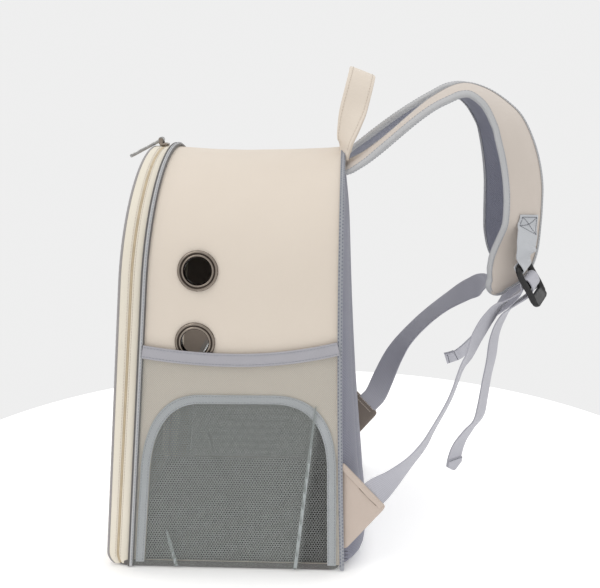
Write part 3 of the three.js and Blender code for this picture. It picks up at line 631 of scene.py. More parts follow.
def hard(name, colour, rough, metallic=0.0, grain=900.0, depth=0.03, wear=None, spec=0.5):
    """Metal or moulded plastic with fine grain and slightly uneven gloss."""
    m, t, p = fresh(name, colour, rough, metallic=metallic, spec=spec)
    tc = node(t, "ShaderNodeTexCoord")
    fine = noise(t, tc.outputs["Object"], grain, 3.0)
    broad = noise(t, tc.outputs["Object"], 120.0, 4.0, 0.65)
    c = blend(t, ranged(t, broad, 0.35, 0.7, 0.0, 0.5), colour, wear or shade(colour, 0.7))
    t.links.new(c, p.inputs["Base Color"])
    t.links.new(ranged(t, calc(t, "ADD", broad, calc(t, "MULTIPLY", fine, 0.5)), 0.45, 1.1, max(rough - 0.08, 0.05), rough + 0.1), p.inputs["Roughness"])
    bumped(t, p, fine, 0.35, depth * MM)
    return m


def thread_mat(name, colour):
    m, t, p = fresh(name, colour, 0.6, sheen=0.2, spec=0.4)
    tc = node(t, "ShaderNodeTexCoord")
    f = noise(t, tc.outputs["Object"], 1800.0, 2.0)
    t.links.new(blend(t, ranged(t, f, 0.3, 0.7, 0.0, 0.45), colour, shade(colour, 0.55)), p.inputs["Base Color"])
    bumped(t, p, f, 0.6, 0.1 * MM)
    return m


def sheer_net(name, colour, pitch=1.3):
    """Fine open net: crossing threads with clear holes, denser along its folds."""
    m, t, p = fresh(name, colour, 0.6, sheen=0.2, spec=0.35)
    tc = node(t, "ShaderNodeTexCoord")
    uv = scaled(t, tc.outputs["UV"], 1000 / pitch, 1000 / pitch, turn=0.7854)
    th = calc(t, "MAXIMUM", wave(t, uv, "X"), wave(t, uv, "Y"))
    fold = node(t, "ShaderNodeAttribute", attribute_name="fold")
    a = ranged(t, th, 0.45, 0.9, 0.13, 0.37, smooth=True)
    a = calc(t, "MINIMUM", calc(t, "ADD", a, fold.outputs["Fac"]), 1.0)
    a = calc(t, "MAXIMUM", a, 0.0)
    t.links.new(a, p.inputs["Alpha"])
    broad = noise(t, tc.outputs["Object"], 30.0, 3.0)
    t.links.new(blend(t, ranged(t, broad, 0.35, 0.7, 0.0, 0.12), colour, shade(colour, 0.7)), p.inputs["Base Color"])
    t.links.new(ranged(t, th, 0.4, 1.0, 0.75, 0.5), p.inputs["Roughness"])
    bumped(t, p, th, 0.4, 0.12 * MM)
    return m


CREAM = lin(228, 217, 204)
M_SHELL = woven("cream_panel_cloth", CREAM, pitch=(0.55, 0.55), valley_shade=0.9, blotch=0.03, tint=lin(205, 190, 176), rough=0.7, sheen=0.1, depth=0.06)
# painted shade: the tabs take a darker copy of the cream, and their inner faces a dark taupe, for the shade they lie in
M_TAB_SHADE = woven("tab_cloth_painted_shade", lin(203, 188, 177), pitch=(0.55, 0.55), valley_shade=0.9, blotch=0.03, rough=0.7, sheen=0.1, depth=0.06)
M_TAB_INNER_SHADE = woven("tab_inner_painted_shade", lin(138, 127, 118), pitch=(0.7, 0.7), valley_shade=0.8, blotch=0.05, rough=0.85, depth=0.1)
# the net folds' light opaque cloth: partly the doubled net, partly painted highlight along the fold
M_FOLD_HIGHLIGHT = woven("net_fold_painted_highlight", lin(172, 178, 180), pitch=(0.8, 0.6), valley_shade=0.8, blotch=0.04, rough=0.7, sheen=0.2, depth=0.1)
M_BAND = woven("cream_zip_band_cloth", lin(236, 229, 214), pitch=(0.55, 0.55), valley_shade=0.9, blotch=0.03, rough=0.7, sheen=0.1, depth=0.06)
M_MAT = woven("dark_inner_mat", lin(72, 69, 66), pitch=(0.9, 0.9), valley_shade=0.75, blotch=0.05, rough=0.95, depth=0.12)
M_INSIDE = woven("inner_face_cloth", lin(160, 150, 140), pitch=(0.8, 0.8), valley_shade=0.8, blotch=0.05, rough=0.9, depth=0.1)
M_TRIM = woven("grey_binding_tape", lin(172, 175, 182), pitch=(0.9, 0.6), valley_shade=0.72, blotch=0.05, rough=0.74, sheen=0.2, depth=0.16)
M_TRIM_LIGHT = woven("light_binding_tape", lin(204, 207, 212), pitch=(0.9, 0.6), valley_shade=0.78, blotch=0.04, rough=0.74, sheen=0.2, depth=0.16)
M_HEM = woven("pocket_hem_tape", lin(184, 183, 190), pitch=(0.9, 0.6), valley_shade=0.75, blotch=0.05, rough=0.74, sheen=0.2, depth=0.16)
M_PIPE = woven("dark_piping_cloth", lin(170, 167, 168), pitch=(0.9, 0.6), valley_shade=0.7, blotch=0.05, rough=0.72, sheen=0.15, depth=0.14)
M_DARK_STRIP = woven("dark_strip_cloth", lin(112, 109, 108), pitch=(0.9, 0.6), valley_shade=0.7, blotch=0.05, rough=0.74, sheen=0.15, depth=0.14)
M_BACK = air_mesh("grey_air_mesh_back", lin(138, 139, 153), pitch=2.4, coords="OBJECT", hole_shade=0.74, depth=0.35)
M_LINING = air_mesh("grey_air_mesh_strap", lin(146, 148, 163), pitch=2.2, hole_shade=0.72, depth=0.35)
M_WEB = webbing_mat("grey_strap_webbing", lin(188, 188, 197))
M_STRAP = woven("strap_cover_cloth", lin(213, 203, 194), pitch=(0.55, 0.55), valley_shade=0.9, blotch=0.03, rough=0.7, sheen=0.1, depth=0.06)
M_STRAP_TAPE = woven("strap_binding_tape", lin(199, 200, 202), pitch=(0.9, 0.6), valley_shade=0.8, blotch=0.04, rough=0.74, sheen=0.2, depth=0.16)
M_TAPE = woven("tan_zip_tape", lin(206, 188, 160), pitch=(0.6, 0.6), valley_shade=0.75, blotch=0.04, rough=0.7, depth=0.1)
M_COIL = hard("tan_zip_coil", lin(214, 198, 170), 0.42, grain=700.0, depth=0.04)
M_WINDOW = hard("window_mesh_thread", lin(150, 151, 150), 0.6, grain=1500.0, depth=0.08, spec=0.35)
M_NET = sheer_net("sheer_pocket_net", lin(145, 152, 149))


def shaded(m):
    """Painted shadow: darkens the cloth where it lies behind the long fold, in the fold's shadow."""
    t = m.node_tree
    p = t.nodes["Principled BSDF"]
    was = p.inputs["Base Color"].links[0].from_socket
    at = node(t, "ShaderNodeAttribute", attribute_name="fold_shadow")
    t.links.new(blend(t, at.outputs["Fac"], was, (0.0, 0.0, 0.0, 1)), p.inputs["Base Color"])


# painted shadow behind the long fold, on the window mesh and the pocket net
shaded(M_WINDOW)
shaded(M_NET)
M_METAL = hard("gunmetal_eyelet", lin(150, 140, 130), 0.24, metallic=1.0, grain=1100.0, depth=0.012, wear=lin(116, 106, 98))
# a darker copy of the gunmetal: painted shade in the eyelets' grooves and bore
M_METAL_SHADE = hard("gunmetal_painted_shade", lin(70, 62, 56), 0.34, metallic=1.0, grain=1100.0, depth=0.012, wear=lin(50, 44, 40))
M_PULL = hard("gunmetal_pull", lin(171, 171, 171), 0.3, metallic=1.0, grain=1100.0, depth=0.012, wear=lin(110, 104, 98))
M_PLASTIC = hard("black_buckle_plastic", lin(20, 20, 22), 0.46, grain=1300.0, depth=0.03, wear=lin(24, 24, 26))
T_GREY = thread_mat("grey_thread", lin(158, 161, 170))
T_DARK = thread_mat("dark_thread", lin(92, 95, 106))
T_SEAM = thread_mat("seam_thread", lin(118, 121, 134))
# brown thread laid densely as painted shadow under the tabs' hems
T_HEM_SHADOW = thread_mat("painted_shadow_thread", lin(128, 108, 94))
T_CREAM = thread_mat("cream_thread", lin(214, 202, 188))
T_LIGHT = thread_mat("light_grey_thread", lin(178, 182, 190))

# ------------------------------------------------------------------ camera, floor and light
CAM_AT = np.array([1082.77, 124.59, 484.54])
YAW, PITCH_DOWN, FOCAL_PX, IMAGE_W = 0.0479, 0.2056, 983.05, 600
fw = np.array([-math.cos(YAW) * math.cos(PITCH_DOWN), -math.sin(YAW) * math.cos(PITCH_DOWN), -math.sin(PITCH_DOWN)])
rt = unit(np.cross(fw, [0, 0, 1]))
up = np.cross(rt, fw)
cam = bpy.data.cameras.new("camera")
cam.sensor_fit, cam.sensor_width = "HORIZONTAL", 36.0
cam.lens = 36.0 * FOCAL_PX / IMAGE_W
cam.clip_start, cam.clip_end = 0.02, 50.0
cam_obj = bpy.data.objects.new("camera", cam)
cam_obj.matrix_world = Matrix([[rt[i], up[i], -fw[i], CAM_AT[i] * MM] for i in range(3)] + [[0, 0, 0, 1]])
SCENE.collection.objects.link(cam_obj)
SCENE.camera = cam_obj

SCENE.view_settings.view_transform = "Standard"
SCENE.view_settings.look = "None"

world = bpy.data.worlds.new("studio")
SCENE.world = world
world.use_nodes = True
wt = world.node_tree
wt.nodes["Background"].inputs["Color"].default_value = (0.86, 0.86, 0.86, 1)
wt.nodes["Background"].inputs["Strength"].default_value = 1.0
WORLD_LIGHT = 0.88
soft = wt.nodes.new("ShaderNodeBackground")
soft.inputs["Color"].default_value = (1.0, 0.995, 0.985, 1)
soft.inputs["Strength"].default_value = WORLD_LIGHT
path = wt.nodes.new("ShaderNodeLightPath")
mix = wt.nodes.new("ShaderNodeMixShader")
# painted shade: the backdrop is drawn dark where it is seen through both windows and their two nets, for the shade
# inside the bag
seen_through_bag = node(wt, "ShaderNodeMath", operation="GREATER_THAN")
seen_through_bag.inputs[1].default_value = 1.5
wt.links.new(path.outputs["Transparent Depth"], seen_through_bag.inputs[0])
wt.links.new(blend(wt, seen_through_bag.outputs[0], (0.86, 0.86, 0.86, 1), (0.1, 0.1, 0.1, 1)), wt.nodes["Background"].inputs["Color"])
wt.links.new(path.outputs["Is Camera Ray"], mix.inputs[0])
wt.links.new(soft.outputs[0], mix.inputs[1])
wt.links.new(wt.nodes["Background"].outputs[0], mix.inputs[2])
wt.links.new(mix.outputs[0], wt.nodes["World Output"].inputs["Surface"])


def floor_disc(radius=525.5, centre=(-58.5, 78.5), rings=6, n=160):
    v, q, t = [(centre[0], centre[1], -0.3)], [], []
    for i in range(1, rings + 1):
        r = radius * i / rings
        v += [(centre[0] + r * math.cos(2 * math.pi * k / n), centre[1] + r * math.sin(2 * math.pi * k / n), -0.3) for k in range(n)]
    t = [(0, 1 + k, 1 + (k + 1) % n) for k in range(n)]
    for i in range(rings - 1):
        a = 1 + i * n
        q += [(a + k, a + n + k, a + n + (k + 1) % n, a + (k + 1) % n) for k in range(n)]
    me = bpy.data.meshes.new("floor")
    me.from_pydata((np.array(v) * MM).tolist(), [], q + t)
    m, tr, p = fresh("white_floor", (0.93, 0.93, 0.93, 1), 0.7, spec=0.1)
    tc = node(tr, "ShaderNodeTexCoord")
    tr.links.new(blend(tr, ranged(tr, noise(tr, tc.outputs["Object"], 8.0), 0.4, 0.7, 0.0, 0.03), (0.93, 0.93, 0.93, 1), (0.85, 0.85, 0.85, 1)), p.inputs["Base Color"])
    p.inputs["Emission Color"].default_value = (1, 1, 1, 1)
    # painted shade: drawn dark, like the backdrop, where it is seen through both windows and their nets
    lp = node(tr, "ShaderNodeLightPath")
    far = calc(tr, "MULTIPLY", calc(tr, "GREATER_THAN", lp.outputs["Transparent Depth"], 1.5), lp.outputs["Is Camera Ray"])
    # painted contact shadow: the floor's glow fades where it meets the base
    at = node(tr, "ShaderNodeSeparateXYZ")
    tr.links.new(tc.outputs["Object"], at.inputs[0])
    dx = calc(tr, "MAXIMUM", calc(tr, "SUBTRACT", calc(tr, "ABSOLUTE", at.outputs["X"], 0.0), 0.15), 0.0)
    dy = calc(tr, "MAXIMUM", calc(tr, "SUBTRACT", calc(tr, "ABSOLUTE", calc(tr, "SUBTRACT", at.outputs["Y"], 0.003), 0.0), 0.115), 0.0)
    off = calc(tr, "SQRT", calc(tr, "ADD", calc(tr, "MULTIPLY", dx, dx), calc(tr, "MULTIPLY", dy, dy)), 0.0)
    glow = calc(tr, "MULTIPLY", ranged(tr, far, 0.0, 1.0, 0.33, 0.0), ranged(tr, off, 0.0, 0.04, 0.3, 1.0))
    tr.links.new(glow, p.inputs["Emission Strength"])
    tr.links.new(blend(tr, far, p.inputs["Base Color"].links[0].from_socket, (0.06, 0.06, 0.06, 1)), p.inputs["Base Color"])
    me.materials.append(m)
    o = bpy.data.objects.new("floor", me)
    SCENE.collection.objects.link(o)


floor_disc()


def area_light(name, at, to, size, power, colour=(1, 1, 1)):
    l = bpy.data.lights.new(name, "AREA")
    l.shape, l.size, l.energy, l.color = "DISK", size, power, colour
    o = bpy.data.objects.new(name, l)
    o.location = at
    o.rotation_euler = (Vector(to) - Vector(at)).to_track_quat("-Z", "Y").to_euler()
    SCENE.collection.objects.link(o)


area_light("key", (1.1, -1.0, 1.9), (0, 0.02, 0.25), 1.3, 7.0, (1.0, 0.985, 0.96))
area_light("top", (0.1, 0.2, 2.3), (0, 0.05, 0.0), 1.6, 4.0)
area_light("back_fill", (-1.0, 1.5, 1.2), (0, 0.1, 0.25), 1.4, 4.0, (0.97, 0.985, 1.0))

# light that comes in through the windows and falls on the far wall behind the lower vent
glow = bpy.data.lights.new("inner_glow", "SPOT")
glow.energy, glow.spot_size, glow.spot_blend, glow.shadow_soft_size, glow.color = 0.5, math.radians(30), 0.6, 0.02, (1.0, 0.95, 0.92)
glow_obj = bpy.data.objects.new("inner_glow", glow)
glow_obj.location = (-0.03, -0.03, 0.26)
glow_obj.rotation_euler = (Vector((-0.148, -0.071, 0.169)) - Vector((-0.03, -0.03, 0.26))).to_track_quat("-Z", "Y").to_euler()
SCENE.collection.objects.link(glow_obj)

# ------------------------------------------------------------------ window outline
def quad_curve(a, b, c, n):
    t = np.linspace(0, 1, n)[:, None]
    return (1 - t) ** 2 * np.array(a, float) + 2 * t * (1 - t) * np.array(b, float) + t * t * np.array(c, float)


def window_line(g, b, n=26):
    """The window's arch, foot to foot, grown by g: y, z."""
    foot_a, up_a = np.array([-81.6 - g, b]), np.array([-72.5 - g, 110.0])
    foot_b, up_b = np.array([107.8 + g, b]), np.array([107.0 + g, 110.0])
    return np.concatenate([
        np.linspace(foot_a, up_a, 30, endpoint=False),
        quad_curve(up_a, [-63 - g, 178 + g], [-18, 177.2 + g], n)[:-1],
        np.linspace([-18, 177.2 + g], [50, 177.6 + g], 20, endpoint=False),
        quad_curve([50, 177.6 + g], [106 + g, 180 + g], up_b, n)[:-1],
        np.linspace(up_b, foot_b, 26),
    ])


# ------------------------------------------------------------------ side and top panel
def vent_pose(y, z):
    t = math.asin(max(z - SPRING, 0) / DOME)
    n = unit(np.array([math.cos(t) / HALF_W, 0, math.sin(t) / DOME]))
    return np.array([HALF_W * math.cos(t), y, z]), n


def side_top():
    table = arch_table(WALL_Z0)
    total, depth = table[-1, 5], 217.0
    holes = []
    half = total / 2
    for sgn in (1, -1):
        def to_flat(yz):
            y, z = yz[:, 0], yz[:, 1]
            s = np.interp(z, table[: len(table) // 2, 1], table[: len(table) // 2, 5])
            v = (y - y_front(z) - 0.4) / (y_back(z) - y_front(z) - 0.8)
            return np.stack([s if sgn > 0 else total - s, v * depth], -1)
        line = window_line(0, 6.3)
        holes.append(to_flat(even_loop(line, 3.0)))
        for _, y, z in VENTS:
            p, n = vent_pose(y, z)
            a = np.linspace(0, 2 * np.pi, 40, endpoint=False)
            holes.append(to_flat(np.stack([y + 16.4 * np.cos(a), z + 16.4 * np.sin(a)], -1)))
    edge = [np.stack([np.linspace(0, total, 256, endpoint=False), np.zeros(256)], -1), np.stack([np.full(54, total), np.linspace(0, depth, 54, endpoint=False)], -1),
            np.stack([np.linspace(total, 0, 256, endpoint=False), np.full(256, depth)], -1), np.stack([np.zeros(54), np.linspace(depth, 0, 54, endpoint=False)], -1)]
    outline = np.concatenate(edge)
    pts, tris = net_of(outline, holes, 4.4)
    st = arch_at(table, pts[:, 0])
    v = pts[:, 1] / depth
    x, z, nx, nz, top = st.T
    y = y_front(z) + 0.4 + (y_back(z) - y_front(z) - 0.8) * v
    dip = CREST_SAG * top * np.sin(np.pi * v)
    edge_near = np.minimum(v, 1 - v) * depth
    # soft unevenness of the cloth and the pull of the two long seams
    soft_off = 0.55 * lumps(np.stack([pts[:, 0], pts[:, 1]], -1), 150, 3) + 0.16 * lumps(np.stack([pts[:, 0], pts[:, 1]], -1), 46, 4)
    pull = 0.22 * np.exp(-edge_near / 7) * np.sin(pts[:, 0] / 2.6 + 2.0 * np.sin(pts[:, 0] / 31))
    hold = np.ones(len(pts))
    for h in holes:
        hold = np.minimum(hold, np.clip(loop_distance(pts, h) / 14, 0, 1))
    low = np.clip((z - 8) / 30, 0, 1)
    off = (soft_off * np.clip(edge_near / 16, 0, 1) * low * hold + pull * hold) - 0.25
    outer = np.stack([x + nx * off, y, z + nz * off - dip], -1)
    inner = np.stack([x + nx * (off - 2.2), y, z + nz * (off - 2.2) - dip], -1)
    sh = Shape()
    sh.solid(outer, inner, tris, pts, inner_mat=1)
    o = sh.build("side_top_cloth", [M_SHELL, M_INSIDE], replaces="side_top_panel", slot="cream_cloth")
    a, b, c = pts[tris[:, 0]], pts[tris[:, 1]], pts[tris[:, 2]]


side_top()


# ------------------------------------------------------------------ strips along the arch
def arch_strip(name, y0, y1, low, high, r, mats, z0, replaces, slot, across=6, crown=0.0, step=4.0, ripple=0.0, shape=None, mat=0, uv_scale=1.0):
    table = arch_table(z0)
    s = arch_stations(z0, step)
    x, z, nx, nz, top = arch_at(table, s).T
    w = y1(z) - y0(z)
    # the profile is drawn at the mean width, its corner radius capped to fit, and stretched to each station's width
    wmean = float(np.mean(w))
    prof = round_profile(wmean, low, high, min(r, wmean / 2 - 0.05, (high - low) / 2 - 0.02), across, crown)
    u = (prof[:, 0] + wmean / 2) / wmean
    off = prof[:, 1][None] + (ripple * np.sin(s / 2.2)[:, None] * np.clip((prof[:, 1][None] - low) / (high - low), 0, 1))
    rings = np.stack([x[:, None] + nx[:, None] * off, y0(z)[:, None] + w[:, None] * u[None], z[:, None] + nz[:, None] * off], -1)
    per = run_length(np.concatenate([prof, prof[:1]]))
    sh = shape or Shape()
    sh.loft(rings, per, s, mat=mat)
    if shape is None:
        return sh.build(name, mats, replaces=replaces, slot=slot)


def arch_path(yf, off, z0, step=1.5):
    table = arch_table(z0)
    s = np.arange(0, table[-1, 5], step)
    x, z, nx, nz, top = arch_at(table, s).T
    p = np.stack([x + nx * off, yf(z), z + nz * off], -1)
    n = np.stack([nx, np.zeros_like(nx), nz], -1)
    return p, n


arch_strip("zip_band_rear_cloth", lambda z: y_zip(z, zip_at(z) - 1.15), lambda z: y_front(z) + 0.4, -2.4, 0.0, 0.9, M_BAND, 2.4, "zip_band_rear", "cream_cloth", crown=0.35)
arch_strip("zip_band_front_cloth", lambda z: y_zip(z, 20.4), lambda z: y_zip(z, zip_at(z) + 1.15), -2.4, 0.0, 0.9, M_BAND, 2.4, "zip_band_front", "cream_cloth", crown=0.35)
arch_strip("front_seam_binding", lambda z: y_front(z) + 1.5, lambda z: y_front(z) + 5.0, 0.3, 3.9, 1.3, M_STRAP_TAPE, 1.2, "front_binding", "grey_trim", crown=0.2, ripple=0.1)
# thin dark strips along the front and rear edges of the front binding
arch_strip("front_seam_dark_strip", lambda z: y_front(z) + 0.1, lambda z: y_front(z) + 1.8, 0.2, 4.2, 0.8, M_DARK_STRIP, 1.2, (), "grey_trim", across=3)
arch_strip("front_seam_edge", lambda z: y_front(z) + 4.6, lambda z: y_front(z) + 6.2, 0.2, 2.9, 0.7, M_DARK_STRIP, 1.2, (), "grey_trim", across=3)
arch_strip("back_seam_binding", lambda z: y_back(z) - 1.2, lambda z: y_back(z) + 3.8, 0.2, 2.9, 1.1, M_TRIM, 1.2, "back_binding", "grey_trim", crown=0.2, ripple=0.1)


def piping():
    table = arch_table(2.6)
    s = arch_stations(2.6, 3.0, 0.8)
    x, z, nx, nz, top = arch_at(table, s).T
    a = np.linspace(0, 2 * np.pi, 14, endpoint=False)
    r = 1.45 + 0.07 * np.sin(s / 1.1)[:, None]
    off = -1.2 + r * np.cos(a)[None]
    y = y_zip(z, BAND - 0.6)[:, None] + r * np.sin(a)[None]
    rings = np.stack([x[:, None] + nx[:, None] * off, y, z[:, None] + nz[:, None] * off], -1)
    Shape().loft(rings, np.linspace(0, 12, 15), s).build("front_edge_piping", M_PIPE, replaces="front_piping", slot="grey_trim", sharp=60)


piping()


def zip_coil():
    sh = Shape()
    arch_strip("", lambda z: y_zip(z, zip_at(z) + 1.75), lambda z: y_zip(z, zip_at(z) - 1.75), -2.0, -0.9, 0.3, None, 2.6, None, None, across=3, shape=sh, mat=0)
    table = arch_table(2.8)
    s = np.arange(1.0, table[-1, 5] - 1, 1.35)
    x, z, nx, nz, top = arch_at(table, s).T
    mid = y_zip(z, zip_at(z)) + np.where(np.arange(len(s)) % 2, 0.28, -0.28)
    tx = np.gradient(x, s)
    tz = np.gradient(z, s)
    c = np.stack([x - nx * 0.55, mid, z - nz * 0.55], -1)
    t = np.stack([np.zeros_like(x), np.ones_like(x), np.zeros_like(x)], -1)
    n = np.stack([nx, np.zeros_like(nx), nz], -1)
    b = np.stack([tx, np.zeros_like(tx), tz], -1)
    ang = np.arange(6) * np.pi / 3
    xs, rs = np.array([-1.15, -0.85, 0.85, 1.15]), np.array([0.3, 0.62, 0.62, 0.3])
    ring = (c[:, None, None] + t[:, None, None] * xs[None, :, None, None]
            + (b[:, None, None] * np.cos(ang)[None, None, :, None] + n[:, None, None] * np.sin(ang)[None, None, :, None]) * rs[None, :, None, None])
    base = (np.arange(len(s)) * 24)[:, None]
    q1 = [[i * 6 + j, i * 6 + (j + 1) % 6, (i + 1) * 6 + (j + 1) % 6, (i + 1) * 6 + j] for i in range(3) for j in range(6)]
    cap = [[0, j + 1, j] for j in range(1, 5)] + [[18, 18 + j, 19 + j] for j in range(1, 5)]
    sh.add(ring.reshape(-1, 3), (base[:, :, None] + np.array(q1)[None]).reshape(-1, 4), (base[:, :, None] + np.array(cap)[None]).reshape(-1, 3), mq=1, mt=1)
    sh.build("zip_coil", [M_TAPE, M_COIL], replaces="zipper", slot="zip_tape")


zip_coil()


# ------------------------------------------------------------------ front panel and base
def half_width(z, inset):
    z = np.asarray(z, float)
    q = np.clip((z - SPRING) / (DOME - inset), 0, 1)
    return (HALF_W - inset) * np.sqrt(np.maximum(1 - q * q, 0))


def arch_outline(inset, z0, step):
    t = np.linspace(0, np.pi, 200)
    pts = np.concatenate([[[HALF_W - inset, z0]], np.stack([(HALF_W - inset) * np.cos(t), SPRING + (DOME - inset) * np.sin(t)], -1), [[-(HALF_W - inset), z0]]])
    return even_loop(pts, step)


def front_panel():
    loop = arch_outline(3.4, 1.0, 5.0)
    pts, tris = net_of(loop, [], 6.0)
    x, z = pts.T
    d = loop_distance(pts, loop)
    u = x / np.maximum(half_width(z, 3.4), 1e-6)
    u = np.clip(u, -1, 1)
    zz = np.clip(z, 0, HEIGHT)
    crown = 5 * (1 - u * u) * np.sin(np.pi * zz / HEIGHT)
    soft_off = 0.8 * lumps(pts, 170, 11) * np.clip(d / 30, 0, 1) + 0.2 * lumps(pts, 50, 12) * np.clip(d / 12, 0, 1)
    seam = -0.7 * np.exp(-(((d - 9.0) / 2.2) ** 2))
    edge = 1.5 * np.exp(-d / 2.2)
    y = y_zip(zz, BAND) - 1 - crown + edge - soft_off - seam
    outer = np.stack([x, y, z], -1)
    inner = np.stack([x, y_zip(zz, BAND) - 1 - crown + 2.5 - soft_off, z], -1)
    sh = Shape()
    sh.solid(outer, inner, tris, pts, inner_mat=1)
    o = sh.build("front_panel_cloth", [M_SHELL, M_INSIDE], replaces="front_panel", slot="cream_cloth")
    line = arch_outline(3.4 + 9.0, 10.0, 1.2)
    yl = y_zip(line[:, 1], BAND) - 1 - 5 * (1 - np.clip(line[:, 0] / np.maximum(half_width(line[:, 1], 3.4), 1e-6), -1, 1) ** 2) * np.sin(np.pi * line[:, 1] / HEIGHT) + 0.6
    th = Shape()
    stitches(th, np.stack([line[:, 0], yl, line[:, 1]], -1), [0, -1, 0], 3.6, 2.7)
    th.build("front_panel_stitching", T_CREAM, slot="cream_cloth", sharp=180)


front_panel()


def base_panel():
    x, y0, y1, r = 149.5, -109.0, 119.0, 9.0
    corners = [(x - r, y0 + r, -90), (x - r, y1 - r, 0), (-x + r, y1 - r, 90), (-x + r, y0 + r, 180)]
    loop = np.array([[cx + r * math.cos(math.radians(a0 + k * 7.5)), cy + r * math.sin(math.radians(a0 + k * 7.5))] for cx, cy, a0 in corners for k in range(13)])
    pts, tris = net_of(even_loop(loop, 5.0), [], 9.0)
    d = loop_distance(pts, even_loop(loop, 5.0))
    rim = 1.2 * np.exp(-d / 1.6)
    top = np.stack([pts[:, 0], pts[:, 1], BASE_T - rim], -1)
    low = np.stack([pts[:, 0], pts[:, 1], rim + 0.0 * d], -1)
    sh = Shape()
    sh.solid(top, low, tris, pts, inner_mat=1)
    # the bound edge round the bottom
    path2 = even_loop(loop, 3.0)
    n = len(path2)
    tan = unit(np.roll(path2, -1, 0) - np.roll(path2, 1, 0))
    out = np.stack([tan[:, 1], -tan[:, 0]], -1)
    a = np.linspace(0, 2 * np.pi, 12, endpoint=False)
    rings = np.stack([path2[:, None, 0] + out[:, None, 0] * (0.2 + 1.3 * np.cos(a))[None], path2[:, None, 1] + out[:, None, 1] * (0.2 + 1.3 * np.cos(a))[None],
                      np.broadcast_to(3.5 + 3.2 * np.sin(a), (n, 12))], -1)
    rings = np.concatenate([rings, rings[:1]])
    sh.loft(rings, np.linspace(0, 12, 13), np.arange(n + 1) * 3.0, caps=False, mat=2)
    o = sh.build("base_panel_cloth", [M_MAT, M_TRIM, M_DARK_STRIP], replaces="base_panel", slot="cream_cloth")


base_panel()


# ------------------------------------------------------------------ padded back
def back_pad_shape():
    """Height of the padded back over its own plane, before it is filled and before its sewn channels are pressed in."""
    def pad(x, z):
        hw = np.maximum(half_width(np.minimum(z, 416.5), 1.5), 6.0)
        t = np.interp(z, BACK_PAD[:, 0], BACK_PAD[:, 1])
        flat = np.minimum(np.abs(x) / np.maximum(hw - 5, 1), 1)
        t = t * (1 + PAD_SKEW * np.clip((110 - z) / 70, 0, 1) * x / HALF_W)
        return 0.8 + t * np.sqrt(np.maximum(1 - flat**6, 0)), hw
    return pad


CHANNELS = [(0.0, 28, 352), (-78.0, 40, 300), (78.0, 40, 300)]   # sewn lines: x, from z, to z


def channel_depth(x, z):
    c = np.zeros(np.broadcast(x, z).shape)
    for cx, z0, z1 in CHANNELS:
        d = np.hypot(x - cx, np.maximum(np.maximum(z0 - z, z - z1), 0))
        c = np.maximum(c, np.exp(-((d / 7.0) ** 2)))
    return c


def back_pad():
    pad = back_pad_shape()
    loop = arch_outline(1.5, 1.0, 5.0)
    pts, tris = net_of(loop, [], 5.5)
    x, z = pts.T
    d = loop_distance(pts, loop)
    t, hw = pad(x, z)
    soft_edge = np.sqrt(np.clip(1 - (1 - np.clip(d / 13, 0, 1)) ** 2, 0, 1))
    h = np.minimum(t, 1.0 + t * soft_edge)
    h = h * (1 - 0.36 * channel_depth(x, z)) - 1.4 * np.clip(d / 20, 0, 1)
    y0 = y_back(np.clip(z, 0, HEIGHT)) + 0.5
    outer = np.stack([x, y0 + np.maximum(h, 1.0), z], -1)
    inner = np.stack([x, y0, z], -1)
    sh = Shape()
    sh.solid(outer, inner, tris, pts)
    o = sh.build("back_air_mesh_pad", M_BACK, replaces="back_panel", slot="grey_cloth", sharp=180)
    remesh = o.modifiers.new("even", "REMESH")
    remesh.mode, remesh.voxel_size = "VOXEL", 0.005
    apply_all(o)
    fill_pad(o, pressure=4.0, cap=5.0)
    o.data.polygons.foreach_set("use_smooth", np.ones(len(o.data.polygons), bool))
    sub = o.modifiers.new("smooth", "SUBSURF")
    sub.levels = sub.render_levels = 1
    return o


def apply_all(o):
    dg = bpy.context.evaluated_depsgraph_get()
    me = bpy.data.meshes.new_from_object(o.evaluated_get(dg), depsgraph=dg)
    old = o.data
    o.modifiers.clear()
    o.data = me
    if not me.materials:
        for m in old.materials:
            me.materials.append(m)
    me.name = o.name


def fill_pad(o, pressure, cap):
    """Inflates the pad against its seams and channels, and keeps every point within cap millimetres of where it was."""
    me = o.data
    n = len(me.vertices)
    rest = np.zeros(n * 3)
    me.vertices.foreach_get("co", rest)
    rest = rest.reshape(-1, 3)
    p = rest / MM
    loop = arch_outline(1.5, 1.0, 5.0)
    near_rim = loop_distance(p[:, [0, 2]], loop) < 9
    near_wall = p[:, 1] < y_back(np.clip(p[:, 2], 0, HEIGHT)) + 3.0
    sewn = channel_depth(p[:, 0], p[:, 2]) > 0.72
    held = near_rim | near_wall | sewn
    group = o.vertex_groups.new(name="held")
    group.add([int(i) for i in np.nonzero(held)[0]], 1.0, "REPLACE")
    cl = o.modifiers.new("cloth", "CLOTH")
    s = cl.settings
    s.quality = 4
    s.mass = 0.3
    s.tension_stiffness = s.compression_stiffness = 12
    s.shear_stiffness, s.bending_stiffness = 6, 1.0
    s.use_pressure, s.uniform_pressure_force = True, pressure
    s.effector_weights.gravity = 0.0
    s.vertex_group_mass = "held"
    cl.collision_settings.use_collision = False
    cl.point_cache.frame_start, cl.point_cache.frame_end = 1, 20
    for f in range(1, 21):
        SCENE.frame_set(f)
    dg = bpy.context.evaluated_depsgraph_get()
    e = o.evaluated_get(dg)
    moved = np.zeros(n * 3)
    e.data.vertices.foreach_get("co", moved)
    moved = moved.reshape(-1, 3)
    o.modifiers.clear()
    SCENE.frame_set(1)
    step = moved - rest
    far = np.linalg.norm(step, axis=1, keepdims=True)
    step *= np.minimum(1.0, cap * MM / np.maximum(far, 1e-9))
    me.vertices.foreach_set("co", (rest + step).ravel())
    me.update()


BACK = back_pad()


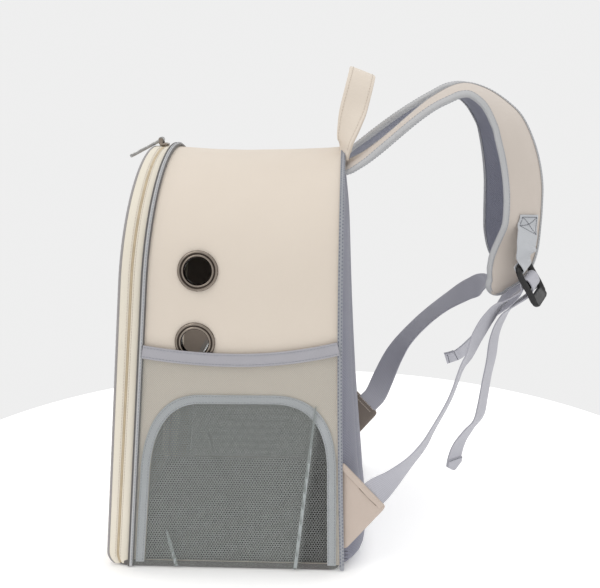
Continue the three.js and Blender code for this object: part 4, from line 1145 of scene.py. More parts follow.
# ------------------------------------------------------------------ sides: eyelets, window mesh, pocket, tab
def eyelet(name, side, y, z, node_name):
    p, n = vent_pose(y, z)
    prof = [(20.0, 0.35), (20.0, 0.8), (19.75, 1.4), (19.2, 1.95), (18.4, 2.3), (17.7, 2.25), (17.2, 1.85), (16.8, 1.5), (16.3, 1.55), (15.9, 1.95),
            (15.45, 2.45), (14.9, 2.6), (14.3, 2.45), (13.85, 2.0), (13.6, 1.3), (13.5, 0.4), (13.5, -2.0), (13.5, -6.4), (13.9, -6.8),
            (18.2, -6.8), (18.5, -6.5), (18.5, -5.6), (18.2, -5.3), (15.8, -5.3), (15.8, 0.0), (16.0, 0.35)]
    prof = np.array(prof)
    a = np.linspace(0, 2 * np.pi, 73)[:-1]
    e1, e2 = np.array([0, 1.0, 0]), np.cross(n, [0, 1.0, 0])
    rings = np.array([p + n * h + r * (np.cos(a)[:, None] * e1 + np.sin(a)[:, None] * e2) for r, h in prof])
    rings = np.transpose(rings, (1, 0, 2))
    rings = mirrored(np.concatenate([rings, rings[:1]]), side)
    sh = Shape()
    # painted highlight and shade: the crest rows take the light gunmetal, every other row its darker copy
    highlight_rows = np.zeros(len(prof), int)
    highlight_rows[[2, 3, 4, 9, 10, 11]] = 1
    sh.loft(rings, np.concatenate([run_length(prof), [run_length(prof)[-1] + 1]]), np.linspace(0, 120, 73), caps=False, mat=np.tile(highlight_rows, 72))
    q, v = sh.q[0], sh.v[0]
    tri = np.concatenate([q[:, :3], q[:, [0, 2, 3]]])
    if (v[tri[:, 0]] * np.cross(v[tri[:, 1]], v[tri[:, 2]])).sum() < 0:
        sh.q[0], sh.uq[0] = q[:, ::-1], sh.uq[0][:, ::-1]
    o = sh.build(name, [M_METAL_SHADE, M_METAL], replaces=node_name, slot="gunmetal", sharp=50)
    weld(o)


def weld(o):
    bm = bmesh.new()
    bm.from_mesh(o.data)
    bmesh.ops.remove_doubles(bm, verts=bm.verts, dist=1e-6)
    bm.to_mesh(o.data)
    bm.free()


def mark_fold_shadow(o):
    n = len(o.data.vertices)
    p = np.zeros(n * 3)
    o.data.vertices.foreach_get("co", p)
    p = p.reshape(-1, 3) / MM
    over = 1 - np.clip((loop_distance(p[:, 1:], window_line(0, 4.0)) * np.where(inside_loop(p[:, 1:], window_line(0, 4.0)), 0, 1)) / 3, 0, 1)
    # painted shadow: how much each point is darkened behind the long fold
    at = o.data.attributes.new("fold_shadow", "FLOAT", "POINT")
    at.data.foreach_set("value", (0.42 * fold_shadow_share(p[:, 1], p[:, 2]) * over).astype(np.float32))


def window_net(side, label):
    a, r = NET_PITCH, NET_HOLE
    loop = window_line(4.5, 5.6)
    lo, hi = loop.min(0), loop.max(0)
    h = a * math.sqrt(3) / 2
    nj, ni = int((hi[1] - lo[1]) / h) + 2, int((hi[0] - lo[0]) / a) + 2
    c = np.array([[lo[0] + i * a + (j % 2) * a / 2, lo[1] + j * h] for j in range(nj) for i in range(ni)])
    c = c[inside_loop(c, loop)]
    ang = np.pi / 2 + np.arange(6) * np.pi / 3
    hexa = np.stack([np.cos(ang), np.sin(ang)], -1)
    big = c[:, None] + hexa[None] * a / math.sqrt(3)
    key, inv = np.unique(np.round(big.reshape(-1, 2), 2), axis=0, return_inverse=True)
    inv = inv.reshape(-1, 6)
    hole = (c[:, None] + hexa[None] * r).reshape(-1, 2)
    nk, nh = len(key), len(hole)
    def sag(p):
        return 1.2 * np.sin(np.pi * np.clip((p[:, 0] + 82) / 190, 0, 1)) * np.sin(np.pi * np.clip(p[:, 1] / 178, 0, 1)) + 0.5 * lumps(p, 70, 21)
    x0 = 147.0
    top = np.stack([x0 - sag(key) + 0.32, key[:, 0], key[:, 1]], -1)
    low = np.stack([x0 - sag(key) - 0.32, key[:, 0], key[:, 1]], -1)
    mid = np.stack([x0 - sag(hole), hole[:, 0], hole[:, 1]], -1)
    hid = (np.arange(len(c))[:, None] * 6 + np.arange(6)[None]) + 2 * nk
    q1 = np.stack([inv, np.roll(inv, -1, 1), np.roll(hid, -1, 1), hid], -1).reshape(-1, 4)
    q2 = np.stack([hid, np.roll(hid, -1, 1), np.roll(inv, -1, 1) + nk, inv + nk], -1).reshape(-1, 4)
    e = np.stack([inv, np.roll(inv, -1, 1)], -1).reshape(-1, 2)
    s = np.sort(e, 1)
    _, first, count = np.unique(s, axis=0, return_index=True, return_counts=True)
    rim = e[first[count == 1]]
    walls = np.stack([rim[:, 1], rim[:, 0], rim[:, 0] + nk, rim[:, 1] + nk], -1)
    v = mirrored(np.concatenate([top, low, mid]), side)
    q = np.concatenate([q1, q2, walls])
    uv = np.concatenate([key, key, hole])
    sh = Shape()
    sh.add(v, q, None, uv[q])
    o = sh.build(f"window_mesh_{label}", M_WINDOW, replaces=f"window_net_{label}", slot="window_mesh", sharp=75)
    mark_fold_shadow(o)


def window_binding(side, label):
    prof = round_profile(9.2, 0.25, 1.7, 0.6, 6, 0.25)
    g = prof[:, 0] + 4.6
    lines = np.array([window_line(k, 5.6) for k in g])          # profile, path, (y, z)
    rings = np.transpose(np.stack([np.broadcast_to(HALF_W + prof[:, 1][:, None], lines.shape[:2]), lines[..., 0], lines[..., 1]], -1), (1, 0, 2))
    along_mid = run_length(window_line(4.6, 5.6))
    ripple = 0.10 * np.sin(along_mid / 1.7)
    rings = rings + np.stack([ripple, 0 * ripple, 0 * ripple], -1)[:, None] * (prof[:, 1] > 1.0)[None, :, None]
    rings = mirrored(rings, side)
    sh = Shape()
    sh.loft(rings, run_length(np.concatenate([prof, prof[:1]])), along_mid)
    sh.build(f"window_edge_tape_{label}", M_TRIM_LIGHT, replaces=f"window_binding_{label}", slot="grey_trim")
    th = Shape()
    for k in (1.6, 7.6):
        line = resample(window_line(k, 7.0), np.arange(0, run_length(window_line(k, 7.0))[-1], 1.0))
        stitches(th, mirrored(np.stack([np.full(len(line), HALF_W + 1.78), line[:, 0], line[:, 1]], -1), side), [side, 0, 0], 3.2, 2.3, 0.36)
    th.build(f"window_edge_stitching_{label}", T_GREY, slot="grey_trim", sharp=180)


CREASES = [  # y, z at the head; y, z at the foot; height; width
    (95.6, 175.5, 75.2, 4.0, 2.6, 4.0),
    (-57.0, 41.8, -47.7, 3.1, 1.6, 3.4),
]


def fold_shadow_share(y, z):
    """How far a point lies behind the long fold, in its painted shadow."""
    ya, za, yb, zb, *_ = CREASES[0]
    line_y = ya + (yb - ya) * np.clip((za - z) / (za - zb), 0, 1)
    return np.clip((y - line_y) / 7, 0, 1) * np.clip((za - z) / 26, 0, 1)


def pocket_xyz(u, v):
    """A point of the net pocket's face from shares across and up."""
    z = np.full(np.broadcast(u, v).shape, 6.0)
    for _ in range(5):
        y = y_front(z) + 5.6 + (y_back(z) - 2.0 - y_front(z) - 5.6) * u
        z = 2.6 + (hem_top(y) - HEM_H + 1.0 - 2.6) * v
    x = HALF_W + 3.35 + 1.6 * np.sin(np.pi * u) * np.sin(np.pi * v)
    fold = np.zeros_like(x)
    for ya, za, yb, zb, high, wide in CREASES:
        dy, dz = yb - ya, zb - za
        length = math.hypot(dy, dz)
        along = ((y - ya) * dy + (z - za) * dz) / length
        across = ((y - ya) * dz - (z - za) * dy) / length * (-1 if dz < 0 else 1)
        part = np.clip(along / length, 0, 1)
        grow = np.where(along < 0, np.exp(-((along / 18) ** 2)), 1.0) * (0.25 + 0.75 * part**0.8)
        x = x + high * grow * np.exp(-np.abs(across) / wide)
        fold = np.maximum(fold, 0.55 * np.where(along < -2, 0, 1) * (0.35 + 0.65 * part) * np.exp(-((across / 1.5) ** 2)))
    # the slack net sinks toward the window behind the long crease
    ya, za, yb, zb, *_ = CREASES[0]
    line_y = ya + (yb - ya) * np.clip((za - z) / (za - zb), 0, 1)
    back = np.clip((y - line_y) / 10, 0, 1) * np.clip((za - z) / 30, 0, 1) * np.clip((y_back(z) - 8 - y) / 10, 0, 1)
    x = x - 1.4 * back
    fold = fold - 0.16 * back
    x = x + 0.25 * lumps(np.stack([y, z], -1), 60, 31) * np.sin(np.pi * u) * np.clip(v * 6, 0, 1)
    return np.stack([x, y, z], -1), fold


def pocket(side, label):
    nu, nv = 96, 96
    u, v = np.meshgrid(np.linspace(0, 1, nu), np.linspace(0, 1, nv), indexing="ij")
    p, fold = pocket_xyz(u, v)
    sh = Shape()
    idx = np.arange(nu * nv).reshape(nu, nv)
    q = np.stack([idx[:-1, :-1], idx[1:, :-1], idx[1:, 1:], idx[:-1, 1:]], -1).reshape(-1, 4)
    if side < 0:
        q = q[:, ::-1]
    flat = p[..., 1:].reshape(-1, 2)
    sh.add(mirrored(p.reshape(-1, 3), side), q, None, flat[q], closed=False)
    o = sh.build(f"pocket_sheer_net_{label}", M_NET, replaces=f"pocket_net_{label}", slot="pocket_mesh", sharp=180)
    at = o.data.attributes.new("fold", "FLOAT", "POINT")
    at.data.foreach_set("value", fold.ravel().astype(np.float32))
    mark_fold_shadow(o)

    # pressed folds of the net, each a doubled ridge that stands up, in a light cloth that is partly the doubled net and
    # partly painted highlight along the fold
    ridge = Shape()
    for ya, za, yb, zb, high, wide in CREASES:
        m = 60
        k = np.linspace(0, 1, m)
        yy, zz = ya + (yb - ya) * k, za + (zb - za) * k
        uu = np.clip((yy - y_front(zz) - 5.6) / (y_back(zz) - 2.0 - y_front(zz) - 5.6), 0, 1)
        vv = np.clip((zz - 2.6) / (hem_top(yy) - HEM_H + 1.0 - 2.6), 0, 1)
        at_line, _ = pocket_xyz(uu, vv)
        t2 = unit(np.array([yb - ya, zb - za]))
        side2 = np.array([-t2[1], t2[0]])
        prof2 = round_profile(3.4, -1.5, -0.55, 0.4, 5, 0.2)
        grow = 0.3 + 0.7 * np.minimum(1, k * 3) ** 0.8
        rr = np.stack([at_line[:, :1] + prof2[None, :, 1], at_line[:, 1:2] + side2[0] * prof2[None, :, 0] * grow[:, None], at_line[:, 2:] + side2[1] * prof2[None, :, 0] * grow[:, None]], -1)
        ridge.loft(mirrored(rr, side), run_length(np.concatenate([prof2, prof2[:1]])), run_length(at_line))
    ridge.build(f"pocket_net_folds_{label}", M_FOLD_HIGHLIGHT, slot="pocket_mesh", sharp=60)

    # hem along the pocket's mouth
    n = 110
    y_mid = np.linspace(0, 1, n)
    z = np.full(n, 230.0)
    for _ in range(5):
        y = y_front(z) + 5.8 + (y_back(z) - 1.6 - y_front(z) - 5.8) * y_mid
        z = hem_top(y)
    prof = round_profile(HEM_H, 2.7, 4.7, 0.85, 7, 0.25)
    dz = np.gradient(z, y)
    nrm = unit(np.stack([-dz, np.ones(n)], -1))                     # y, z across the hem, upward
    across = prof[:, 0] - HEM_H / 2
    rings = np.stack([np.broadcast_to(HALF_W + prof[:, 1], (n, len(prof))), y[:, None] + nrm[:, :1] * across[None], z[:, None] + nrm[:, 1:] * across[None]], -1)
    ends = np.minimum(y_mid, 1 - y_mid)
    rings[..., 0] += 0.18 * np.sin(y / 2.1)[:, None] * (prof[:, 1] > 3.5)[None] * 0.5
    hs = Shape()
    hs.loft(mirrored(rings, side), run_length(np.concatenate([prof, prof[:1]])), run_length(np.stack([y, z], -1)))
    hs.build(f"pocket_hem_tape_{label}", M_HEM, replaces=f"pocket_hem_{label}", slot="grey_trim")
    th = Shape()
    for k in (-HEM_H + 2.2, -1.8):
        line = np.stack([np.full(n, HALF_W + 4.92), y + nrm[:, 0] * k, z + nrm[:, 1] * k], -1)
        stitches(th, mirrored(line, side), [side, 0, 0], 3.3, 2.4, 0.38)
    th.build(f"pocket_hem_stitching_{label}", T_GREY, slot="grey_trim", sharp=180)


def tab(side, label):
    """Cloth tab that carries the lower strap: a folded triangle with a turned hem along its upper edge."""
    loop = np.array([[TAB_ROOT, TAB_TOP], *TAB_TIP, [TAB_ROOT + 4, TAB_LOW], [TAB_ROOT, TAB_LOW]])
    fine = even_loop(loop, 2.0)
    for i in range(3):
        fine = 0.25 * np.roll(fine, 1, 0) + 0.5 * fine + 0.25 * np.roll(fine, -1, 0)
    pts, tris = net_of(fine, [], 3.0)
    d = loop_distance(pts, fine)
    roll = 1.0 * np.sqrt(np.clip(1 - (1 - np.clip(d / 1.2, 0, 1)) ** 2, 0, 1))
    puff = 0.35 * np.clip(d / 10, 0, 1) + 0.18 * lumps(pts, 24, 41)
    outer = np.stack([TAB_X + 0.15 + roll + puff, pts[:, 0], pts[:, 1]], -1)
    inner = np.stack([TAB_X - 0.15 - roll - 0.3 * puff, pts[:, 0], pts[:, 1]], -1)
    sh = Shape()
    sh.solid(mirrored(outer, side), mirrored(inner, side), tris, pts, inner_mat=1)
    # turned hem
    a, b = np.array([TAB_ROOT + 0.5, TAB_TOP - 1.0]), np.array([164.8, 72.6])
    dirn = unit(b - a)
    inward = np.array([dirn[1], -dirn[0]])
    inward = inward if inward[1] < 0 else -inward
    prof = round_profile(6.4, -0.5, 1.35, 0.7, 6, 0.25)
    n = 46
    s = np.linspace(0, np.linalg.norm(b - a), n)
    cen = a + dirn * s[:, None] + inward * 2.9
    rings = np.stack([np.broadcast_to(TAB_X + 1.35 + prof[:, 1], (n, len(prof))), cen[:, :1] + inward[0] * prof[None, :, 0], cen[:, 1:] + inward[1] * prof[None, :, 0]], -1)
    # its free edge stands off toward the tip, over the webbing's end
    gape = np.sin(np.pi * np.clip((s / s[-1] - 0.46) / 0.5, 0, 1)) ** 2
    free = np.clip(prof[:, 0] / 3.2, 0, 1)
    rings[..., 0] += (0.15 * np.sin(s / 3.0))[:, None] + 1.5 * gape[:, None] * free[None]
    sh.loft(mirrored(rings, side), run_length(np.concatenate([prof, prof[:1]])), s)
    # painted shade: outer face in the darker cream, inner face in the dark taupe
    o = sh.build(f"strap_tab_{label}", [M_TAB_SHADE, M_TAB_INNER_SHADE], replaces=f"tab_{label}", slot="cream_cloth")
    th = Shape()
    line = a + dirn * np.linspace(2, s[-1] - 3, 60)[:, None] + inward * 1.4
    stitches(th, mirrored(np.stack([np.full(60, TAB_X + 2.85), line[:, 0], line[:, 1]], -1), side), [side, 0, 0], 3.0, 2.2, 0.34)
    for k in (1.4, 6.0):
        line = a + dirn * np.linspace(2, s[-1] - 3, 60)[:, None] + inward * k
        stitches(th, mirrored(np.stack([np.full(60, TAB_X - 1.3), line[:, 0], line[:, 1]], -1), side), [-side, 0, 0], 3.0, 2.4, 0.4)
    th.build(f"strap_tab_stitching_{label}", T_CREAM, slot="cream_cloth", sharp=180)
    # painted shadow under the hem's free edge, laid as a dense row of brown thread, and the bar tacks at the lower
    # corner
    th = Shape()
    shadow_path = a + dirn * np.linspace(s[-1] * 0.5, s[-1] * 0.93, 40)[:, None] + inward * 6.1
    stitches(th, mirrored(np.stack([np.full(40, TAB_X + 1.75), shadow_path[:, 0], shadow_path[:, 1]], -1), side), [side, 0, 0], 1.5, 1.5, 0.8)
    th.build(f"strap_tab_painted_shadow_{label}", T_HEM_SHADOW, slot="cream_cloth", sharp=180)
    th = Shape()
    for k in range(3):
        zz = TAB_LOW - 3.2 - 4.0 * k
        tack = np.stack([np.full(8, HALF_W + 0.4), np.linspace(TAB_ROOT + 2.2, TAB_ROOT + 6.4, 8), np.full(8, zz)], -1)
        tack[:, 0] = TAB_X - 0.2
        stitches(th, mirrored(tack, side), [side, 0, 0], 4.2, 4.0, 0.5)
    th.build(f"strap_tab_tacks_{label}", T_DARK, slot="cream_cloth", sharp=180)


for label, side in SIDES:
    for row, y, z in VENTS:
        eyelet(f"eyelet_{row}_{label}", side, y, z, f"vent_{row}_{label}")
    window_net(side, label)
    window_binding(side, label)
    pocket(side, label)
    tab(side, label)


# ------------------------------------------------------------------ seams sewn along the arch
def arch_stitching():
    th = Shape()
    for k, shift in ((-0.1, 0.0), (2.7, 1.85)):
        p, n = arch_path(lambda z: y_back(z) + k, 3.0, 4.0)
        stitches(th, p, n, 3.7, 2.0, 0.6, start=2.0 + shift)
    th.build("back_seam_stitching", T_SEAM, slot="grey_trim", sharp=180)
    th = Shape()
    p, n = arch_path(lambda z: y_front(z) + 3.9, 4.1, 4.0)
    stitches(th, p, n, 3.4, 2.5, 0.36)
    th.build("front_seam_stitching", T_GREY, slot="grey_trim", sharp=180)
    th = Shape()
    for k in (-2.7, 2.7):
        p, n = arch_path(lambda z: y_zip(z, zip_at(z) + k), 0.25, 9.0)
        stitches(th, p, n, 3.2, 2.4, 0.34)
    th.build("zip_band_stitching", T_CREAM, slot="cream_cloth", sharp=180)


arch_stitching()


# ------------------------------------------------------------------ bands: handle, webbing
def band_rings(rows, per_row, prof, side=1, width_at=None):
    rows = np.asarray(rows, float)
    n = (len(rows) - 1) * per_row + 1
    st = on_rows(rows, np.linspace(0, len(rows) - 1, n))
    p = st[:, :3]
    t = unit(np.gradient(p, axis=0))
    w = st[:, 3:6]
    w = unit(w - (w * t).sum(1, keepdims=True) * t)
    u = np.cross(t, w)
    k = np.ones(n) if width_at is None else width_at(np.linspace(0, 1, n))
    rings = p[:, None] + w[:, None] * (prof[None, :, :1] * k[:, None, None]) + u[:, None] * prof[None, :, 1:]
    return mirrored(rings, side), mirrored(p, side), mirrored(w, side), mirrored(u, side), run_length(p)


def handle():
    leg = [[43.2, 121.2, 413.5, 0.94, 0.2, -0.26]] + HANDLE_ROWS
    rest = [[-x, y, z, -a, b, c] for x, y, z, a, b, c in leg[:-1][::-1]]
    rows = leg + rest
    prof = round_profile(29.0, -1.75, 1.75, 1.3, 9, 0.35)
    rings, p, w, u, s = band_rings(rows, 12, prof)
    sh = Shape()
    sh.loft(rings, run_length(np.concatenate([prof, prof[:1]])), s)
    sh.build("carry_handle_band", M_SHELL, replaces="carry_handle", slot="cream_cloth")
    th = Shape()
    for a in (-11.0, 11.0):
        for f in (1, -1):
            stitches(th, p + w * a + u * f * 1.95, u * f, 3.4, 2.5, 0.4, start=12.0, stop=s[-1] - 12.0)
    th.build("carry_handle_stitching", T_CREAM, slot="cream_cloth", sharp=180)


handle()


def buckle_axes(label):
    bl = unit(np.array(BUCKLE_LONG[label], float))
    bw = np.array(BUCKLE_WIDE[label], float)
    bw = unit(bw - (bw @ bl) * bl)
    return bl, bw, np.cross(bw, bl)


def on_buckle(label, l, n, a=0.0):
    bl, bw, bn = buckle_axes(label)
    return np.array(BUCKLE_AT[label]) + bl * l + bn * n + bw * a


def strap_frames(label, f):
    rows = STRAP_ROWS[label] + STRAP_END[label]
    m = len(rows) - 1
    f = np.atleast_1d(np.asarray(f, float))
    st = on_rows(rows, f)
    a, b = on_rows(rows, np.maximum(f - 0.05, 0)), on_rows(rows, np.minimum(f + 0.05, m))
    t = unit(np.stack([np.zeros(len(f)), b[:, 0] - a[:, 0], b[:, 1] - a[:, 1]], -1))
    n0 = np.stack([np.zeros(len(f)), -t[:, 2], t[:, 1]], -1)
    k = np.radians(st[:, 3])[:, None]
    w = np.cos(k) * np.array([1.0, 0, 0]) - np.sin(k) * n0
    n = np.sin(k) * np.array([1.0, 0, 0]) + np.cos(k) * n0
    p = np.stack([np.full(len(f), STRAP_X), st[:, 0], st[:, 1]], -1)
    return p, t, w, n, st[:, 2]


def strap(label, side):
    m = len(STRAP_ROWS[label]) + len(STRAP_END[label]) - 1
    f = np.linspace(0, m, 8 * m + 1)
    p, t, w, n, width = strap_frames(label, f)
    # the root runs into the back's top seam
    lead = np.array([9.0, 6.0, 3.0])
    p = np.concatenate([p[0] - t[0] * lead[:, None] + np.array([0, 0, 1.0]) * 0.02 * (lead**2)[:, None], p])
    t, w, n = (np.concatenate([np.repeat(a[:1], len(lead), 0), a]) for a in (t, w, n))
    width = np.concatenate([np.repeat(width[:1], len(lead)), width])
    f = np.concatenate([lead * 0, f])
    # round the tip
    R = width[-1] / 2
    q = np.radians([18, 36, 54, 68, 80])
    p = np.concatenate([p, p[-1] + t[-1] * (R * 0.85 * np.sin(q))[:, None]])
    t, w, n = (np.concatenate([a, np.repeat(a[-1:], len(q), 0)]) for a in (t, w, n))
    width = np.concatenate([width, np.maximum(2 * R * np.cos(q), 3.0)])
    s = run_length(p)
    tip = np.concatenate([np.ones(len(f)), np.cos(q) ** 0.7])
    root = 0.45 + 0.55 * np.clip(s / 40, 0, 1)

    def half(sign, high, low):
        a = np.concatenate([np.linspace(-1, 1, 15)])
        rings = []
        for i in range(len(p)):
            hw = max(width[i] / 2 - 3.6, 0.9)
            b = low + (high - low) * (1 - np.abs(a) ** 2.6) * tip[i] * root[i]
            b = np.maximum(b, 0.4)
            b = b + 0.18 * math.sin(s[i] / 11.0) * (1 - a * a)
            outline = [(-hw, 0.15), *zip(a * hw, b), (hw, 0.15)]
            rings.append([p[i] + w[i] * x + n[i] * y * sign for x, y in outline] + [p[i] + n[i] * 0.15 * sign])
        rings = mirrored(np.array(rings), side)
        u = np.concatenate([[0], np.linspace(1, 60, 15), [61, 90, 120]])
        return Shape().loft(rings, u, s)

    cover = half(1, 4.7, 2.1).build(f"strap_outer_{label}", M_STRAP, replaces=f"strap_cover_{label}", slot="cream_cloth", sharp=70)
    lining = half(-1, 4.7, 2.1).build(f"strap_inner_{label}", M_LINING, replaces=f"strap_lining_{label}", slot="grey_cloth", sharp=70)

    # folded tape round the edge, down one side, round the tip and back
    lip = np.array([(-4.4, 3.4), (-3.4, 3.55), (-1.8, 3.4), (-0.2, 2.9), (1.2, 2.1), (2.2, 1.1), (2.65, 0.0), (2.2, -1.1), (1.2, -2.1), (-0.2, -2.9), (-1.8, -3.4), (-3.4, -3.55), (-4.4, -3.4),
                    (-4.4, -2.8), (-3.4, -2.85), (-1.8, -2.6), (-0.4, -1.9), (0.6, -0.8), (0.8, 0.0), (0.6, 0.8), (-0.4, 1.9), (-1.8, 2.6), (-3.4, 2.85), (-4.4, 2.8)])
    lip[:, 0] = np.where(lip[:, 0] < -0.3, -0.3 + (lip[:, 0] + 0.3) * 0.6, lip[:, 0])
    k = len(f)
    last = k - 1
    arc = np.radians(np.arange(10, 180, 10))
    rings, edge_out, edge_in = [], [], []
    hold = np.clip(s[:k] / 40, 0, 1)

    def ring(i, c, sn, squeeze=1.0, thin=1.0):
        d = max(width[i] / 2 - 2.8, 2.4)
        out = w[i] * c + t[i] * sn * 0.9
        r = np.where(lip[:, 0] < 0, np.maximum(lip[:, 0], -d + 0.4), lip[:, 0])
        return p[i] + out * (d + r)[:, None] + n[i] * (lip[:, 1] * thin)[:, None], p[i] + out * (d - min(1.6, d - 0.5)) + n[i] * 3.52 * thin, p[i] + out * (d - min(1.6, d - 0.5)) - n[i] * 3.52 * thin

    for i in range(k):
        rings.append(ring(i, 1, 0, thin=0.7 + 0.3 * hold[i]))
    for b in arc:
        rings.append(ring(last, math.cos(b), math.sin(b)))
    for i in range(k - 1, -1, -1):
        rings.append(ring(i, -1, 0, thin=0.7 + 0.3 * hold[i]))
    line = mirrored(np.array([x[1] for x in rings]), side)
    line_in = mirrored(np.array([x[2] for x in rings]), side)
    nn = mirrored(np.concatenate([n[:k], np.repeat(n[last : last + 1], len(arc), 0), n[:k][::-1]]), side)
    rr = mirrored(np.array([x[0] for x in rings]), side)
    v = run_length(rr.mean(1))
    Shape().loft(rr, run_length(np.concatenate([lip, lip[:1]])), v).build(f"strap_edge_tape_{label}", M_STRAP_TAPE, replaces=f"strap_binding_{label}", slot="grey_trim", sharp=60)
    th = Shape()
    stitches(th, line, nn, 3.3, 2.4, 0.36)
    stitches(th, line_in, -nn, 3.3, 2.4, 0.36)
    th.build(f"strap_edge_stitching_{label}", T_GREY, slot="grey_trim", sharp=180)


def webbing(label, side):
    _, bw, _ = buckle_axes(label)
    lace = [[*on_buckle(label, l, n), *bw] for l, n in LACE]
    root = [147.5, 150.6, 80.2, 0, -0.69, 0.724] if side > 0 else [147.5, 150.8, 80.0, 0, -0.69, 0.724]   # sewn inside the tab
    rows = [root] + WEB_FEED[label] + lace + WEB_TAIL[label]
    prof = round_profile(WEB_W, -WEB_T / 2, WEB_T / 2, 0.5, 9, 0.0, 3)
    prof[:, 1] *= 1 + 0.12 * (np.abs(prof[:, 0]) > 12.2)             # firmer selvedge
    _, p, w, u, s = band_rings(rows, 8, prof, side)
    # the near tail is cut to a point
    point = np.clip(0.14 + (s[-1] - s) / 7.5, 0, 1) if side > 0 else np.ones(len(s))
    rings = p[:, None] + w[:, None] * (prof[None, :, :1] * point[:, None, None]) + u[:, None] * prof[None, :, 1:]
    sh = Shape()
    per = run_length(np.concatenate([prof, prof[:1]]))
    sh.loft(rings, per, s)
    # the end is folded back and sewn
    back = s[-1] - s
    k = int(np.nonzero(back < 15)[0][0])
    fold_prof = prof.copy()
    sign = -1 if label == "right" else 1
    fr = p[k:, None] + w[k:, None] * (prof[None, :, :1] * 0.985 * point[k:, None, None]) + u[k:, None] * (prof[None, :, 1:] + sign * (WEB_T + 0.05))
    sh.loft(fr, per, s[k:])
    sh.build(f"strap_webbing_{label}", M_WEB, replaces=f"webbing_{label}", slot="grey_webbing", sharp=60)
    th = Shape()
    for at in ((12.6,) if side > 0 else (12.6, 3.2)):
        i = float(np.interp(s[-1] - at, s, np.arange(len(s))))
        c, ww, uu = (np.array([np.interp(i, np.arange(len(s)), a[:, j]) for j in range(3)]) for a in (p, w, u))
        for f2, lift in ((sign, 1.55 * WEB_T + 0.1), (-sign, 0.5 * WEB_T + 0.08)):
            line = c + ww * np.linspace(-12.6, 12.6, 30)[:, None] + uu * f2 * lift
            stitches(th, line, uu * f2, 2.6, 2.0, 0.4)
    th.build(f"strap_webbing_stitching_{label}", T_DARK, slot="grey_webbing", sharp=180)


def buckle_loop(label, side):
    rows = []
    for f, a, lift in PATCH[label]:
        p, t, w, n, _ = (x[0] for x in strap_frames(label, [f]))
        rows.append([*(p + w * a + n * (4.2 + lift)), *w])
    _, bw, _ = buckle_axes(label)
    ends = [[-34, 10 if side > 0 else 9], [-28, 5.4], [-22.5, 4.2], [-18.2, 3.9], [-16, 2.3], [-15.8, -0.2], [-16.2, -2.5], [-18.2, -3.9], [-22, -4.2], [-25, -4]]
    turn = [0.85, 0.45, 0.1] if side > 0 else []                        # the band turns from the strap's slant to the buckle's
    sewn_w = np.array(rows[-1][3:])
    for i, k in ((3, 0.23), (4, 0.29)) if side > 0 else ():
        rows[i][3:] = list(np.array(rows[i][3:]) * (1 - k) + bw * k)
    for i, (l, n) in enumerate(ends):
        k = turn[i] if i < len(turn) else 0.0
        rows.append([*on_buckle(label, l, n), *(bw + (sewn_w - bw) * k)])
    prof = round_profile(WEB_W, -WEB_T / 2, WEB_T / 2, 0.5, 9, 0.0, 3)
    rings, p, w, u, s = band_rings(rows, 8, prof, side)
    sh = Shape()
    sh.loft(rings, run_length(np.concatenate([prof, prof[:1]])), s)
    sh.build(f"buckle_loop_webbing_{label}", M_TRIM_LIGHT, replaces=f"buckle_loop_{label}", slot="grey_webbing", sharp=60)
    th = Shape()
    stop = float(np.interp((2.4 if side > 0 else 3.2) * 8, np.arange(len(s)), s))
    out = unit(u)
    # which face looks away from the strap
    pf, tf, wf, nf, _ = strap_frames(label, [PATCH[label][0][0]])
    face = 1.0 if float((u[0] * mirrored(nf[0], side)).sum()) > 0 else -1.0

    def at(along_mm, a):
        i = np.interp(along_mm, s, np.arange(len(s)))
        c, ww, uu = (np.stack([np.interp(i, np.arange(len(s)), m[:, j]) for j in range(3)], -1) for m in (p, w, u))
        return c + ww * np.asarray(a)[:, None] + uu * face * (WEB_T / 2 + 0.12), uu * face

    L0, L1, A = 2.5, max(min(stop, 30.0), 16.0), 11.5
    runs = [(np.linspace(L0, L0, 24), np.linspace(-A, A, 24)), (np.linspace(L1, L1, 24), np.linspace(-A, A, 24)), (np.linspace(L0, L1, 30), np.full(30, A)), (np.linspace(L0, L1, 30), np.full(30, -A)),
            (np.linspace(L0, L1, 36), np.linspace(-A, A, 36)), (np.linspace(L0, L1, 36), np.linspace(A, -A, 36))]
    for la, aa in runs:
        q, nn = at(la, aa)
        stitches(th, q, nn, 2.5, 1.9, 0.36)
    th.build(f"buckle_loop_stitching_{label}", T_DARK, slot="grey_webbing", sharp=180)


